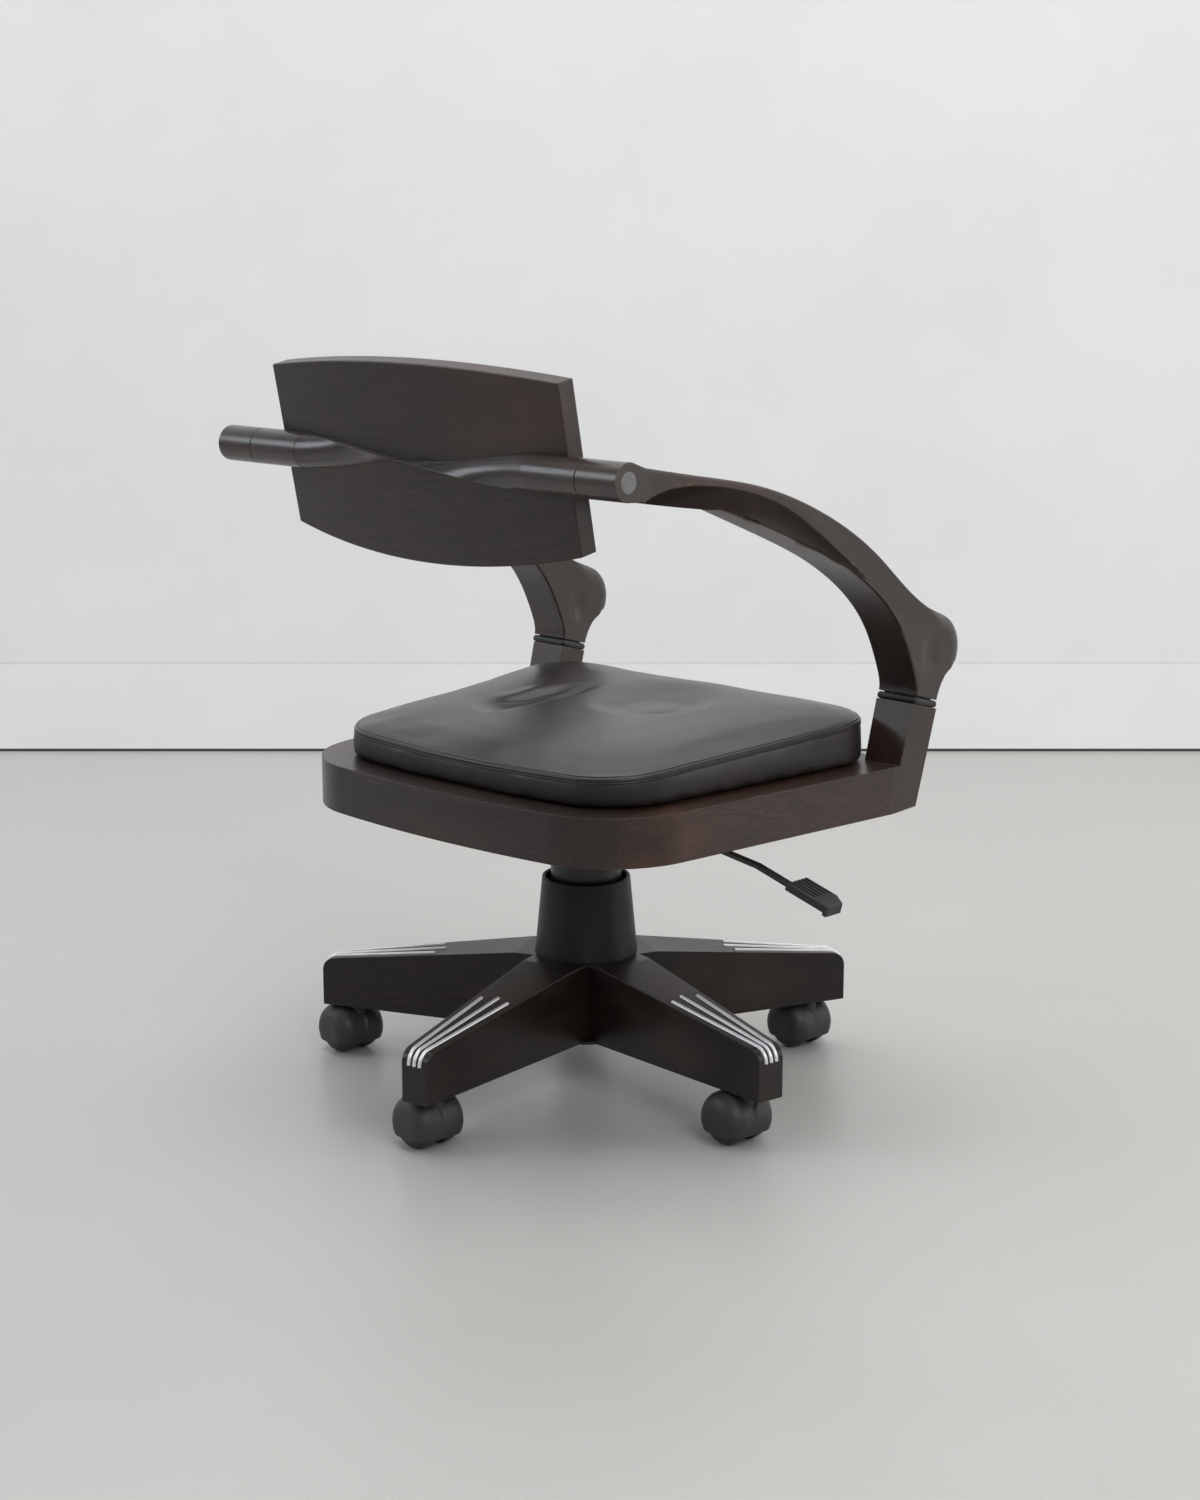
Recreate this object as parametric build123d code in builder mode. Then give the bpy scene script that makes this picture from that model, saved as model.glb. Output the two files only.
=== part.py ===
from build123d import *
import os
from math import atan, cos, degrees, radians, sin, tan

os.makedirs("parts", exist_ok=True)

# The chair stands on the floor at z = 0 with its column on the z axis and faces -Y.
# The sitter's right hand is at -X. All sizes are in millimetres and degrees.

# Fits
running_fit = 0.05
glue_line = 0.1
face_gap = 0.3
thrust_gap = 0.1

# Casters
wheel_radius = 26.0
wheel_width = 20.0
wheel_round = 14.0
web_width = 13.0
wheel_side_gap = 1.5
hood_clear = 1.2
hood_wall = 2.3
hood_skirt = 13.4
hood_crease_depth = 4.0
hood_crease_width = 15.0
hood_top_gap = 1.5
caster_trail = 15.0
caster_turn = -5.5
stem_radius = 5.5
stem_boss_radius = 7.5
stem_grip = 38.0
stem_root = 10.0
axle_radius = 3.0
axle_grip = 16.0

# Base
leg_count = 5
base_turn = 27.0
leg_reach = 300.0
leg_tip_width = 32.0
leg_tip_height = 52.7
leg_tip_round = 15.0
leg_slope = 7.73
leg_edge = 0.8
seam_radius = 59.0
hub_height = 84.0
caster_inset = 35.0
sleeve_wall = 2.5
inlay_radius = 2.0
inlay_length = 134.0
inlay_lead = 6.0
inlay_spacing = 6.7

# Hub socket and column
hub_bore = 39.5
hub_wall = 2.5
hub_rim_step = 3.0
flange_radius = 70.0
flange_thickness = 3.0
socket_wall = 6.0
socket_floor = 9.0
flange_screw_radius = 2.2
flange_screw_head = 4.4
flange_screw_length = 27.0
flange_screw_circle = 58.0
flange_screw_spread = 28.0
cone_height = 84.0
cone_foot_radius = 55.1
cone_top_radius = 47.1
cone_wall = 3.5
cone_rim_round = 1.5
sleeve_radius = 38.0
sleeve_skin = 1.5
sleeve_show = 80.6
sleeve_end_gap = 4.0
sleeve_cap = 3.0

# Gas lift
lift_travel = 100.0
tube_radius = 25.0
tube_wall = 2.0
tube_taper_length = 45.0
tube_taper_drop = 0.7
tube_height = 158.0
tube_floor = 3.0
bush_length = 62.0
bush_lip = 4.0
bearing_height = 6.0
bearing_radius = 12.0
rod_radius = 5.0
rod_tail_radius = 4.0
rod_shoulder_radius = 8.0
rod_shoulder_height = 4.0
piston_spare = 7.0
piston_height = 10.0
cylinder_radius = 14.0
cylinder_wall = 3.0
cylinder_foot = 18.0
cylinder_seal = 8.0
cylinder_taper_length = 28.0
cylinder_taper_drop = 0.6
valve_head = 22.0
button_radius = 4.0
button_proud = 6.6
button_sink = 18.0

# Seat frame
rail_height = 49.8
rail_width = 50.0
seat_rear_reach = 202.2
seat_rear_bow = 21.3
seat_rear_half = 233.7
seat_flare = 6.03
seat_corner_radius = 105.0
mitre_set = 32.5
rail_edge = 1.0
front_rail_reach = 208.0
panel_thickness = 12.0
mechanism_length = 170.0
mechanism_width = 140.0
mechanism_thickness = 3.0
mechanism_corner = 12.0
mechanism_socket_wall = 5.0
mechanism_socket_drop = 50.4
seat_screw_radius = 2.5
seat_screw_head = 5.0
seat_screw_head_height = 2.5
seat_screw_bite = 10.0
seat_screw_margin = 16.0

# Cushion
cushion_inset = 36.0
cushion_front_reach = 204.0
cushion_front_corner = 62.0
cushion_tilt = 2.5
cushion_border = 38.0
cushion_crown = 17.5
cushion_swell = 2.0
cushion_tuck = 1.5
cushion_least_corner = 25.0

# The cushion's crown above its seam: further inset, share of the crown's height
cushion_crown_steps = [(3.0, 0.22), (18.0, 0.52), (52.0, 0.82), (110.0, 1.0)]

# Release lever
lever_yaw = 1.5
lever_width = 8.0
lever_thickness = 4.0
lever_arm = 50.0
lever_eye_radius = 6.0
lever_pin_radius = 3.0
lever_pin_head = 4.5
lever_pin_head_height = 1.5
lever_ear_thickness = 3.0
lever_ear_length = 14.0
lever_side_gap = 0.5
lever_tip_gap = 0.4
lever_elbow_reach = 60.0
lever_drop_reach = 84.0
lever_drop = 24.5
lever_bend_reach = 243.0
lever_bend_drop = 47.0
lever_end_reach = 308.0
lever_end_drop = 65.2
lever_bend_radius = 12.0
paddle_length = 55.0
paddle_width = 31.0
paddle_thickness = 8.0
paddle_side_step = 9.0
paddle_socket = 24.0
paddle_chamfer_length = 14.0
paddle_chamfer_width = 8.0
paddle_lip_drop = 3.0
paddle_lip_length = 5.0
paddle_edge = 1.2
paddle_grooves = 5
paddle_groove_pitch = 5.4
paddle_groove_width = 2.6
paddle_groove_depth = 1.3
paddle_groove_length = 34.0

# Posts, beads and arms
post_setback = 184.6
post_joint_setback = 175.0
post_lean = 15.5
post_depth = 38.0
post_length = 70.8
post_toe_rise = 3.2
arm_inner = 229.0
arm_width = 50.0
bead_height = 7.6
bead_gap = 1.0
bead_proud = 1.0
bead_width = 8.0
bead_corner = 4.0
bead_round = 3.5
bead_lip_inset = 3.0
bead_tongue_inset = 5.0
bead_tongue_rise = 1.8
bead_tongue_clear = 1.4
stud_radius = 9.0
stud_down = 30.0
stud_up = 30.0
fork_rise = 4.0
fork_floor = 7.5
eye_half_width = 5.0
eye_radius = 6.0
eye_pin_radius = 3.0
eye_pin_half = 8.0
arm_edge = 2.0
knee_forward = 26.1
knee_up = 51.5
knee_radius = 32.5
knee_start = 114.0
knee_end = 207.0
arm_joint_drop = 11.8
arm_joint_height = 31.5
arm_end_slope = 10.0

# The arm's edges: share of the way from bead to knuckle, and rise above that line
arm_top_points = [(0.870, 42.1), (0.711, 72.2), (0.526, 92.4), (0.306, 95.5), (0.135, 86.1)]
arm_under_points = [(0.071, 18.5), (0.172, 49.3), (0.344, 63.2), (0.548, 53.0), (0.734, 37.2)]

# The hollow facet on the arm's outer side: place along the underside, height, undercut, hollow
facet_stations = [
    (0.27, 0.3, 0.3, 0.01),
    (0.40, 9.0, 1.8, 0.9),
    (0.53, 20.5, 3.2, 2.4),
    (0.66, 25.5, 5.0, 3.0),
    (0.79, 22.8, 20.0, 2.5),
    (0.90, 19.0, 37.0, 2.0),
    (0.985, 2.0, 26.0, 0.2),
]
facet_overrun = 6.0

# Knuckles, pivots and twisted rod
rod_behind = 238.6
rod_above_seat = 329.1
back_rod_radius = 18.25
pivot_radius = 5.0
pivot_cap_radius = 10.0
pivot_cap_height = 3.0
pivot_grip = 24.0
pivot_bush_wall = 3.0
washer_thickness = 1.1
washer_step = 1.2
twist_half_length = 190.0
twist_growth = 1.15
blade_length = 160.0
blade_growth = 1.2
blade_half_thickness = 2.2
blade_end_step = 0.25
twist_steps = 6

# Back panel
back_half_width = 200.0
back_sag = 13.0
back_tilt = 11.04
back_thickness = 21.0
back_top = 97.0
back_top_corner = 83.3
back_bottom = 102.3
back_bottom_corner = 81.3
back_set_rear = 6.2
back_edge = 1.5

# Levels
hood_radius = wheel_radius + hood_clear + hood_wall
leg_under = wheel_radius + hood_radius + hood_top_gap
tube_floor_top = leg_under + tube_floor
tube_top = leg_under + tube_height
bearing_top = tube_floor_top + bearing_height
cylinder_bottom = leg_under + cylinder_foot
hub_top = leg_under + hub_height
cone_top = hub_top + cone_height
frame_bottom = cone_top + sleeve_show
frame_top = frame_bottom + rail_height
panel_bottom = frame_top - panel_thickness
plate_bottom = panel_bottom - mechanism_thickness
socket_bottom = plate_bottom - mechanism_socket_drop
cylinder_top = socket_bottom + cylinder_taper_length
button_top = cylinder_top + button_proud
lever_level = button_top + lever_tip_gap + lever_thickness / 2
rod_level = frame_top + rod_above_seat

# Places and directions that several pieces share
hub_radius = hub_bore + hub_wall
caster_reach = leg_reach - caster_inset
leg_turns = [base_turn + number * 360 / leg_count for number in range(leg_count)]
flange_screw_sides = (-flange_screw_spread / 2, flange_screw_spread / 2)
arm_outer = arm_inner + arm_width
arm_middle = arm_inner + arm_width / 2
rod_half = arm_inner - washer_thickness - thrust_gap
lever_out = Vector(-cos(radians(lever_yaw)), sin(radians(lever_yaw)), 0)
lever_plane = Plane((0, 0, lever_level), x_dir=lever_out, z_dir=lever_out.cross(Vector(0, 0, 1)))


def save(piece, name):
    """Label a finished piece and write it under the same name."""
    piece.label = name
    export_step(piece, f"parts/{name}.step")


def closed_outline(*points):
    """Face of a closed outline of straight edges, for the sketch that calls it."""
    with BuildLine() as edge:
        Polyline(*points, close=True)
    make_face(edge.edges())


def side_half(y):
    """Half the width of the seat frame at a depth y, to the flaring outer face."""
    return seat_rear_half + (seat_rear_reach - y) * tan(radians(seat_flare))


def seat_outline(inset, front_y, rear_corner, front_corner=0):
    """Trapezoid with a bowed rear edge, drawn in by inset from the outside of the rails."""
    draw_in = inset / cos(radians(seat_flare))
    rear_y = seat_rear_reach - inset
    rear_x = side_half(rear_y) - draw_in
    front_x = side_half(front_y) - draw_in
    with BuildSketch() as outline:
        with BuildLine():
            ThreePointArc((-rear_x, rear_y), (0, rear_y + seat_rear_bow), (rear_x, rear_y))
            Polyline((rear_x, rear_y), (front_x, front_y), (-front_x, front_y), (-rear_x, rear_y))
        make_face()
        fillet(outline.vertices().group_by(Axis.Y)[-1], rear_corner)
        if front_corner:
            fillet(outline.vertices().group_by(Axis.Y)[0], front_corner)
    return outline.sketch


# Legs, modelled along +X and turned to their places
seam_x = seam_radius * cos(radians(180 / leg_count))
seam_y = seam_radius * sin(radians(180 / leg_count))
tip_half = leg_tip_width / 2
tip_corner = leg_under + leg_tip_height
leg_rise = tan(radians(leg_slope))
leg_taper = degrees(atan((seam_y - tip_half) / (leg_reach - seam_x)))
slope_end = leg_reach - (hub_top - tip_corner) / leg_rise
tip_tangent = leg_tip_round * tan(radians((90 - leg_slope) / 2))


def inlay_path(side):
    """Line down one inlay rod: along the sloping top and round the tip of the leg."""
    fan = radians(side * leg_taper)
    inward = Vector(-cos(fan), sin(fan), 0)
    plane = Plane(
        (leg_reach, side * inlay_spacing, tip_corner),
        x_dir=inward,
        z_dir=inward.cross(Vector(0, 0, 1)),
    )
    reach = inlay_length if side else inlay_length + inlay_lead
    mid_turn = radians((180 + 90 + leg_slope) / 2)
    with BuildLine(plane) as path:
        ThreePointArc(
            (0, -tip_tangent),
            (leg_tip_round * (1 + cos(mid_turn)), leg_tip_round * sin(mid_turn) - tip_tangent),
            (tip_tangent * cos(radians(leg_slope)), tip_tangent * sin(radians(leg_slope))),
        )
        Line(
            (tip_tangent * cos(radians(leg_slope)), tip_tangent * sin(radians(leg_slope))),
            (reach, reach * leg_rise),
        )
    return path.wires()[0]


with BuildPart() as leg:
    with BuildSketch(Plane.XZ) as leg_side:
        closed_outline(
            (0, leg_under),
            (leg_reach, leg_under),
            (leg_reach, tip_corner),
            (slope_end, hub_top),
            (0, hub_top),
        )
        fillet(leg_side.vertices().group_by(Axis.X)[-1].sort_by(Axis.Y)[-1], leg_tip_round)
    extrude(amount=seam_radius, both=True)
    with BuildSketch(Plane.XY.offset(leg_under)):
        closed_outline(
            (0, 0),
            (seam_x, -seam_y),
            (leg_reach, -tip_half),
            (leg_reach, tip_half),
            (seam_x, seam_y),
        )
        Circle(hub_radius + glue_line, mode=Mode.SUBTRACT)
    extrude(amount=hub_height, mode=Mode.INTERSECT)
    leg_sides = leg.faces().filter_by(lambda face: abs(face.normal_at().Y) > abs(face.normal_at().X))
    leg_sides = leg_sides.filter_by(lambda face: face.center().X > seam_radius)
    fillet(leg_sides.edges().filter_by(lambda edge: edge.center().X > seam_radius), leg_edge)
    with BuildSketch(Plane.XY.offset(leg_under)):
        Circle(flange_radius + glue_line)
    extrude(amount=flange_thickness, mode=Mode.SUBTRACT)
    with BuildSketch(Plane.XY.offset(leg_under)):
        with Locations((caster_reach, 0)):
            Circle(stem_radius + sleeve_wall + running_fit)
    extrude(amount=stem_grip + face_gap, mode=Mode.SUBTRACT)
    with BuildSketch(Plane.XY.offset(leg_under)):
        with Locations(*[(flange_screw_circle, side) for side in flange_screw_sides]):
            Circle(flange_screw_radius + running_fit)
    extrude(amount=flange_screw_length + face_gap, mode=Mode.SUBTRACT)
    for side in (-1, 0, 1):
        groove = inlay_path(side)
        with BuildSketch(Plane(groove @ 0, z_dir=groove % 0)):
            Circle(inlay_radius + running_fit)
        sweep(path=groove, mode=Mode.SUBTRACT)

with BuildPart() as leg_inlay:
    for side in (-1, 0, 1):
        rod = inlay_path(side)
        with BuildSketch(Plane(rod @ 0, z_dir=rod % 0)):
            Circle(inlay_radius)
        sweep(path=rod)

for number, turn in enumerate(leg_turns, start=1):
    save(leg.part.rotate(Axis.Z, turn), f"leg_{number}")

with BuildPart() as leg_inlays:
    for turn in leg_turns:
        add(leg_inlay.part, rotation=(0, 0, turn))
save(leg_inlays.part, "leg_inlays")

with BuildPart() as caster_sleeves:
    for turn in leg_turns:
        with BuildSketch(Plane.XY.offset(leg_under).rotated((0, 0, turn))):
            with Locations((caster_reach, 0)):
                Circle(stem_radius + sleeve_wall)
                Circle(stem_radius + running_fit, mode=Mode.SUBTRACT)
    extrude(amount=stem_grip)
save(caster_sleeves.part, "caster_sleeves")

# Casters, modelled about their stem with the wheels trailing towards +X
axle_plane = Plane((caster_trail, 0, wheel_radius), x_dir=(0, 1, 0), z_dir=(1, 0, 0))
axle_line = Axis((caster_trail, 0, wheel_radius), (0, 1, 0))
crease_level = wheel_radius - hood_crease_depth
crease_plane = Plane((caster_trail, 0, crease_level), x_dir=(0, 1, 0), z_dir=(1, 0, 0))
crease_line = Axis((caster_trail, 0, crease_level), (0, 1, 0))
wheel_inner = web_width / 2 + wheel_side_gap
wheel_outer = wheel_inner + wheel_width
hood_half = wheel_outer + hood_clear + hood_wall
well_outer = wheel_outer + hood_clear
well_radius = wheel_radius + hood_clear
boss_top = leg_under - face_gap

with BuildPart() as caster_hood:
    with BuildSketch(axle_plane) as hood_section:
        closed_outline(
            (-hood_half, 0),
            (-hood_half, hood_radius),
            (hood_half, hood_radius),
            (hood_half, 0),
        )
        fillet(hood_section.vertices().group_by(Axis.Y)[-1], wheel_round + hood_clear + hood_wall)
    revolve(axis=axle_line)
    with BuildSketch(crease_plane):
        closed_outline(
            (0, hood_radius),
            (hood_crease_width, hood_radius + 2 * hood_crease_depth),
            (-hood_crease_width, hood_radius + 2 * hood_crease_depth),
        )
    revolve(axis=crease_line, mode=Mode.SUBTRACT)
    with BuildSketch(axle_plane) as well_section:
        closed_outline(
            (web_width / 2, 0),
            (web_width / 2, well_radius),
            (well_outer, well_radius),
            (well_outer, 0),
        )
        fillet(well_section.vertices().group_by(Axis.X)[-1].sort_by(Axis.Y)[-1], wheel_round + hood_clear)
        mirror(about=Plane.YZ)
    revolve(axis=axle_line, mode=Mode.SUBTRACT)
    with BuildSketch(Plane.XY.offset(hood_skirt)):
        with Locations((caster_trail, 0)):
            Rectangle(3 * hood_radius, 3 * hood_half)
    extrude(amount=-hood_radius, mode=Mode.SUBTRACT)
    with BuildSketch(Plane.XY.offset(wheel_radius)):
        Circle(stem_boss_radius)
    extrude(amount=boss_top - wheel_radius)
    with BuildSketch(Plane.XY.offset(wheel_radius + stem_root)):
        Circle(stem_radius + running_fit)
    extrude(amount=boss_top - wheel_radius - stem_root, mode=Mode.SUBTRACT)
    with BuildSketch(Plane.XZ):
        with Locations((caster_trail, wheel_radius)):
            Circle(axle_radius + running_fit)
    extrude(amount=web_width / 2, both=True, mode=Mode.SUBTRACT)

with BuildPart() as caster_pins:
    with BuildSketch(Plane.XY.offset(wheel_radius + stem_root)):
        Circle(stem_radius)
    extrude(amount=leg_under + stem_grip - wheel_radius - stem_root)
    with BuildSketch(Plane.XZ):
        with Locations((caster_trail, wheel_radius)):
            Circle(axle_radius)
    extrude(amount=wheel_inner + axle_grip, both=True)

with BuildPart() as wheel_left:
    with BuildSketch(axle_plane) as wheel_section:
        closed_outline(
            (wheel_inner, 0),
            (wheel_inner, wheel_radius),
            (wheel_outer, wheel_radius),
            (wheel_outer, 0),
        )
        fillet(wheel_section.vertices().group_by(Axis.X)[-1].sort_by(Axis.Y)[-1], wheel_round)
    revolve(axis=axle_line)
    with BuildSketch(axle_plane):
        closed_outline(
            (wheel_inner, 0),
            (wheel_inner, axle_radius + running_fit),
            (wheel_inner + axle_grip + face_gap, axle_radius + running_fit),
            (wheel_inner + axle_grip + face_gap, 0),
        )
    revolve(axis=axle_line, mode=Mode.SUBTRACT)

with BuildPart() as wheel_right:
    mirror(wheel_left.part, about=Plane.XZ)

caster_pieces = {
    "hood": caster_hood.part,
    "pins": caster_pins.part,
    "wheel_left": wheel_left.part,
    "wheel_right": wheel_right.part,
}
for number, turn in enumerate(leg_turns, start=1):
    foot = Vector(caster_reach, 0, 0).rotate(Axis.Z, turn)
    for kind, piece in caster_pieces.items():
        save(piece.moved(Location(foot, (0, 0, caster_turn))), f"caster_{number}_{kind}")

# Hub socket, its screws and the column covers
tube_foot_radius = tube_radius - tube_taper_drop
socket_top = leg_under + tube_taper_length
socket_radius = tube_radius + socket_wall
annulus_floor = leg_under + socket_floor
flange_top = leg_under + flange_thickness
screw_sink = flange_screw_head - flange_screw_radius
flange_screw_places = [
    Vector(flange_screw_circle, side, leg_under).rotate(Axis.Z, turn)
    for turn in leg_turns
    for side in flange_screw_sides
]

with BuildPart() as hub_socket:
    with BuildSketch(Plane.XZ):
        closed_outline(
            (tube_foot_radius + running_fit, leg_under),
            (tube_radius + running_fit, socket_top),
            (socket_radius, socket_top),
            (socket_radius, annulus_floor),
            (hub_bore, annulus_floor),
            (hub_bore, hub_top - hub_rim_step),
            (hub_radius, hub_top - hub_rim_step),
            (hub_radius, flange_top),
            (flange_radius, flange_top),
            (flange_radius, leg_under),
        )
    revolve(axis=Axis.Z)
    with Locations(*flange_screw_places):
        Cone(
            flange_screw_head + running_fit,
            flange_screw_radius + running_fit,
            screw_sink,
            align=(Align.CENTER, Align.CENTER, Align.MIN),
            mode=Mode.SUBTRACT,
        )
        Cylinder(
            flange_screw_radius + running_fit,
            flange_thickness,
            align=(Align.CENTER, Align.CENTER, Align.MIN),
            mode=Mode.SUBTRACT,
        )
save(hub_socket.part, "hub_socket")

with BuildPart() as hub_screws:
    with Locations(*flange_screw_places):
        Cone(
            flange_screw_head,
            flange_screw_radius,
            screw_sink,
            align=(Align.CENTER, Align.CENTER, Align.MIN),
        )
        Cylinder(
            flange_screw_radius,
            flange_screw_length,
            align=(Align.CENTER, Align.CENTER, Align.MIN),
        )
save(hub_screws.part, "hub_screws")

with BuildPart() as column_cone:
    with BuildSketch(Plane.XZ) as cone_section:
        closed_outline(
            (cone_foot_radius, hub_top),
            (cone_top_radius, cone_top),
            (cone_top_radius - cone_wall, cone_top),
            (cone_foot_radius - cone_wall, hub_top),
        )
        fillet(cone_section.vertices().group_by(Axis.Y)[-1], cone_rim_round)
    revolve(axis=Axis.Z)
save(column_cone.part, "column_cone")

# Gas lift
cylinder_bore = cylinder_radius - cylinder_wall
rod_top = cylinder_bottom + cylinder_seal + lift_travel + piston_spare + piston_height

with BuildPart() as lift_tube:
    with BuildSketch(Plane.XZ):
        closed_outline(
            (rod_tail_radius + running_fit, leg_under),
            (tube_foot_radius, leg_under),
            (tube_radius, socket_top),
            (tube_radius, tube_top),
            (tube_radius - tube_wall, tube_top),
            (tube_radius - tube_wall, tube_floor_top),
            (rod_tail_radius + running_fit, tube_floor_top),
        )
    revolve(axis=Axis.Z)
save(lift_tube.part, "lift_tube")

with BuildPart() as guide_bush:
    with BuildSketch(Plane.XZ):
        closed_outline(
            (cylinder_radius + running_fit, tube_top - bush_length),
            (tube_radius - tube_wall - running_fit, tube_top - bush_length),
            (tube_radius - tube_wall - running_fit, tube_top),
            (tube_radius, tube_top),
            (tube_radius, tube_top + bush_lip),
            (cylinder_radius + running_fit, tube_top + bush_lip),
        )
    revolve(axis=Axis.Z)
save(guide_bush.part, "guide_bush")

with BuildPart() as thrust_bearing:
    with BuildSketch(Plane.XZ):
        closed_outline(
            (rod_radius + running_fit, tube_floor_top),
            (bearing_radius, tube_floor_top),
            (bearing_radius, bearing_top),
            (rod_radius + running_fit, bearing_top),
        )
    revolve(axis=Axis.Z)
save(thrust_bearing.part, "thrust_bearing")

with BuildPart() as piston_rod:
    with BuildSketch(Plane.XZ):
        closed_outline(
            (0, leg_under + face_gap),
            (rod_tail_radius, leg_under + face_gap),
            (rod_tail_radius, tube_floor_top + face_gap),
            (rod_radius, tube_floor_top + face_gap),
            (rod_radius, bearing_top + thrust_gap),
            (rod_shoulder_radius, bearing_top + thrust_gap),
            (rod_shoulder_radius, bearing_top + thrust_gap + rod_shoulder_height),
            (rod_radius, bearing_top + thrust_gap + rod_shoulder_height),
            (rod_radius, rod_top - piston_height),
            (cylinder_bore - running_fit, rod_top - piston_height),
            (cylinder_bore - running_fit, rod_top),
            (0, rod_top),
        )
    revolve(axis=Axis.Z)
save(piston_rod.part, "piston_rod")

with BuildPart() as lift_cylinder:
    with BuildSketch(Plane.XZ):
        closed_outline(
            (rod_radius + running_fit, cylinder_bottom),
            (cylinder_radius, cylinder_bottom),
            (cylinder_radius, socket_bottom),
            (cylinder_radius - cylinder_taper_drop, cylinder_top),
            (button_radius + running_fit, cylinder_top),
            (button_radius + running_fit, cylinder_top - valve_head),
            (cylinder_bore, cylinder_top - valve_head),
            (cylinder_bore, cylinder_bottom + cylinder_seal),
            (rod_radius + running_fit, cylinder_bottom + cylinder_seal),
        )
    revolve(axis=Axis.Z)
save(lift_cylinder.part, "lift_cylinder")

with BuildPart() as valve_button:
    with BuildSketch(Plane.XY.offset(cylinder_top - button_sink)):
        Circle(button_radius)
    extrude(amount=button_sink + button_proud)
save(valve_button.part, "valve_button")

with BuildPart() as column_sleeve:
    with BuildSketch(Plane.XZ):
        closed_outline(
            (sleeve_radius - sleeve_skin, annulus_floor + sleeve_end_gap),
            (sleeve_radius, annulus_floor + sleeve_end_gap),
            (sleeve_radius, frame_bottom),
            (cylinder_radius + mechanism_socket_wall + running_fit, frame_bottom),
            (cylinder_radius + mechanism_socket_wall + running_fit, frame_bottom - sleeve_cap),
            (sleeve_radius - sleeve_skin, frame_bottom - sleeve_cap),
        )
    revolve(axis=Axis.Z)
save(column_sleeve.part, "column_sleeve")

# Seat mechanism with its lever ears
ear_offset = lever_width / 2 + lever_side_gap
ear_bottom = -lever_eye_radius
ear_top = plate_bottom - lever_level
seat_screw_places = GridLocations(
    mechanism_length - 2 * seat_screw_margin, mechanism_width - 2 * seat_screw_margin, 2, 2
).locations

with BuildPart() as seat_mechanism:
    with BuildSketch(Plane.XY.offset(plate_bottom)):
        RectangleRounded(mechanism_length, mechanism_width, mechanism_corner)
        with Locations(*seat_screw_places):
            Circle(seat_screw_radius + running_fit, mode=Mode.SUBTRACT)
    extrude(amount=mechanism_thickness)
    with BuildSketch(Plane.XZ):
        closed_outline(
            (cylinder_radius + running_fit, socket_bottom),
            (cylinder_radius - cylinder_taper_drop + running_fit, cylinder_top),
            (cylinder_radius - cylinder_taper_drop + running_fit, plate_bottom),
            (cylinder_radius + mechanism_socket_wall, plate_bottom),
            (cylinder_radius + mechanism_socket_wall, socket_bottom),
        )
    revolve(axis=Axis.Z)
    with BuildSketch(lever_plane):
        closed_outline(
            (0, cylinder_top - lever_level),
            (2 * (cylinder_radius + mechanism_socket_wall), cylinder_top - lever_level),
            (2 * (cylinder_radius + mechanism_socket_wall), ear_top),
            (0, ear_top),
        )
    extrude(amount=ear_offset, both=True, mode=Mode.SUBTRACT)
    for side in (-1, 1):
        with BuildSketch(lever_plane.offset(side * (ear_offset + lever_ear_thickness / 2))):
            with Locations((lever_arm, (ear_top + ear_bottom) / 2)):
                Rectangle(lever_ear_length, ear_top - ear_bottom)
            with Locations((lever_arm, 0)):
                Circle(lever_pin_radius + running_fit, mode=Mode.SUBTRACT)
        extrude(amount=lever_ear_thickness / 2, both=True)
save(seat_mechanism.part, "seat_mechanism")

with BuildPart() as seat_screws:
    with BuildSketch(Plane.XY.offset(plate_bottom - seat_screw_head_height)):
        with Locations(*seat_screw_places):
            Circle(seat_screw_head)
    extrude(amount=seat_screw_head_height)
    with BuildSketch(Plane.XY.offset(plate_bottom)):
        with Locations(*seat_screw_places):
            Circle(seat_screw_radius)
    extrude(amount=mechanism_thickness + seat_screw_bite)
save(seat_screws.part, "seat_screws")

# Release lever
lever_path_points = [
    (-button_radius, 0),
    (lever_elbow_reach, 0),
    (lever_drop_reach, -lever_drop),
    (lever_bend_reach, -lever_bend_drop),
    (lever_end_reach, -lever_end_drop),
]
lever_side = lever_plane.z_dir
lever_end = lever_plane.from_local_coords((lever_end_reach, -lever_end_drop, 0))
lever_bend = lever_plane.from_local_coords((lever_bend_reach, -lever_bend_drop, 0))
paddle_along = (lever_end - lever_bend).normalized()
paddle_plane = Plane(
    lever_end - paddle_along * paddle_socket,
    x_dir=paddle_along,
    z_dir=paddle_along.cross(lever_side) * -1,
)
paddle_near = paddle_side_step - paddle_width / 2
paddle_far = paddle_side_step + paddle_width / 2

with BuildPart() as lever_bar:
    with BuildLine(lever_plane) as lever_path:
        FilletPolyline(*lever_path_points, radius=lever_bend_radius)
    with BuildSketch(Plane(lever_path.line @ 0, x_dir=lever_side, z_dir=lever_path.line % 0)):
        Rectangle(lever_width, lever_thickness)
    sweep(path=lever_path.line)
    with BuildSketch(lever_plane):
        with Locations((lever_arm, 0)):
            Circle(lever_eye_radius)
    extrude(amount=lever_width / 2, both=True)
    with BuildSketch(lever_plane):
        with Locations((lever_arm, 0)):
            Circle(lever_pin_radius + running_fit)
    extrude(amount=lever_width, both=True, mode=Mode.SUBTRACT)
save(lever_bar.part, "lever_bar")

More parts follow.
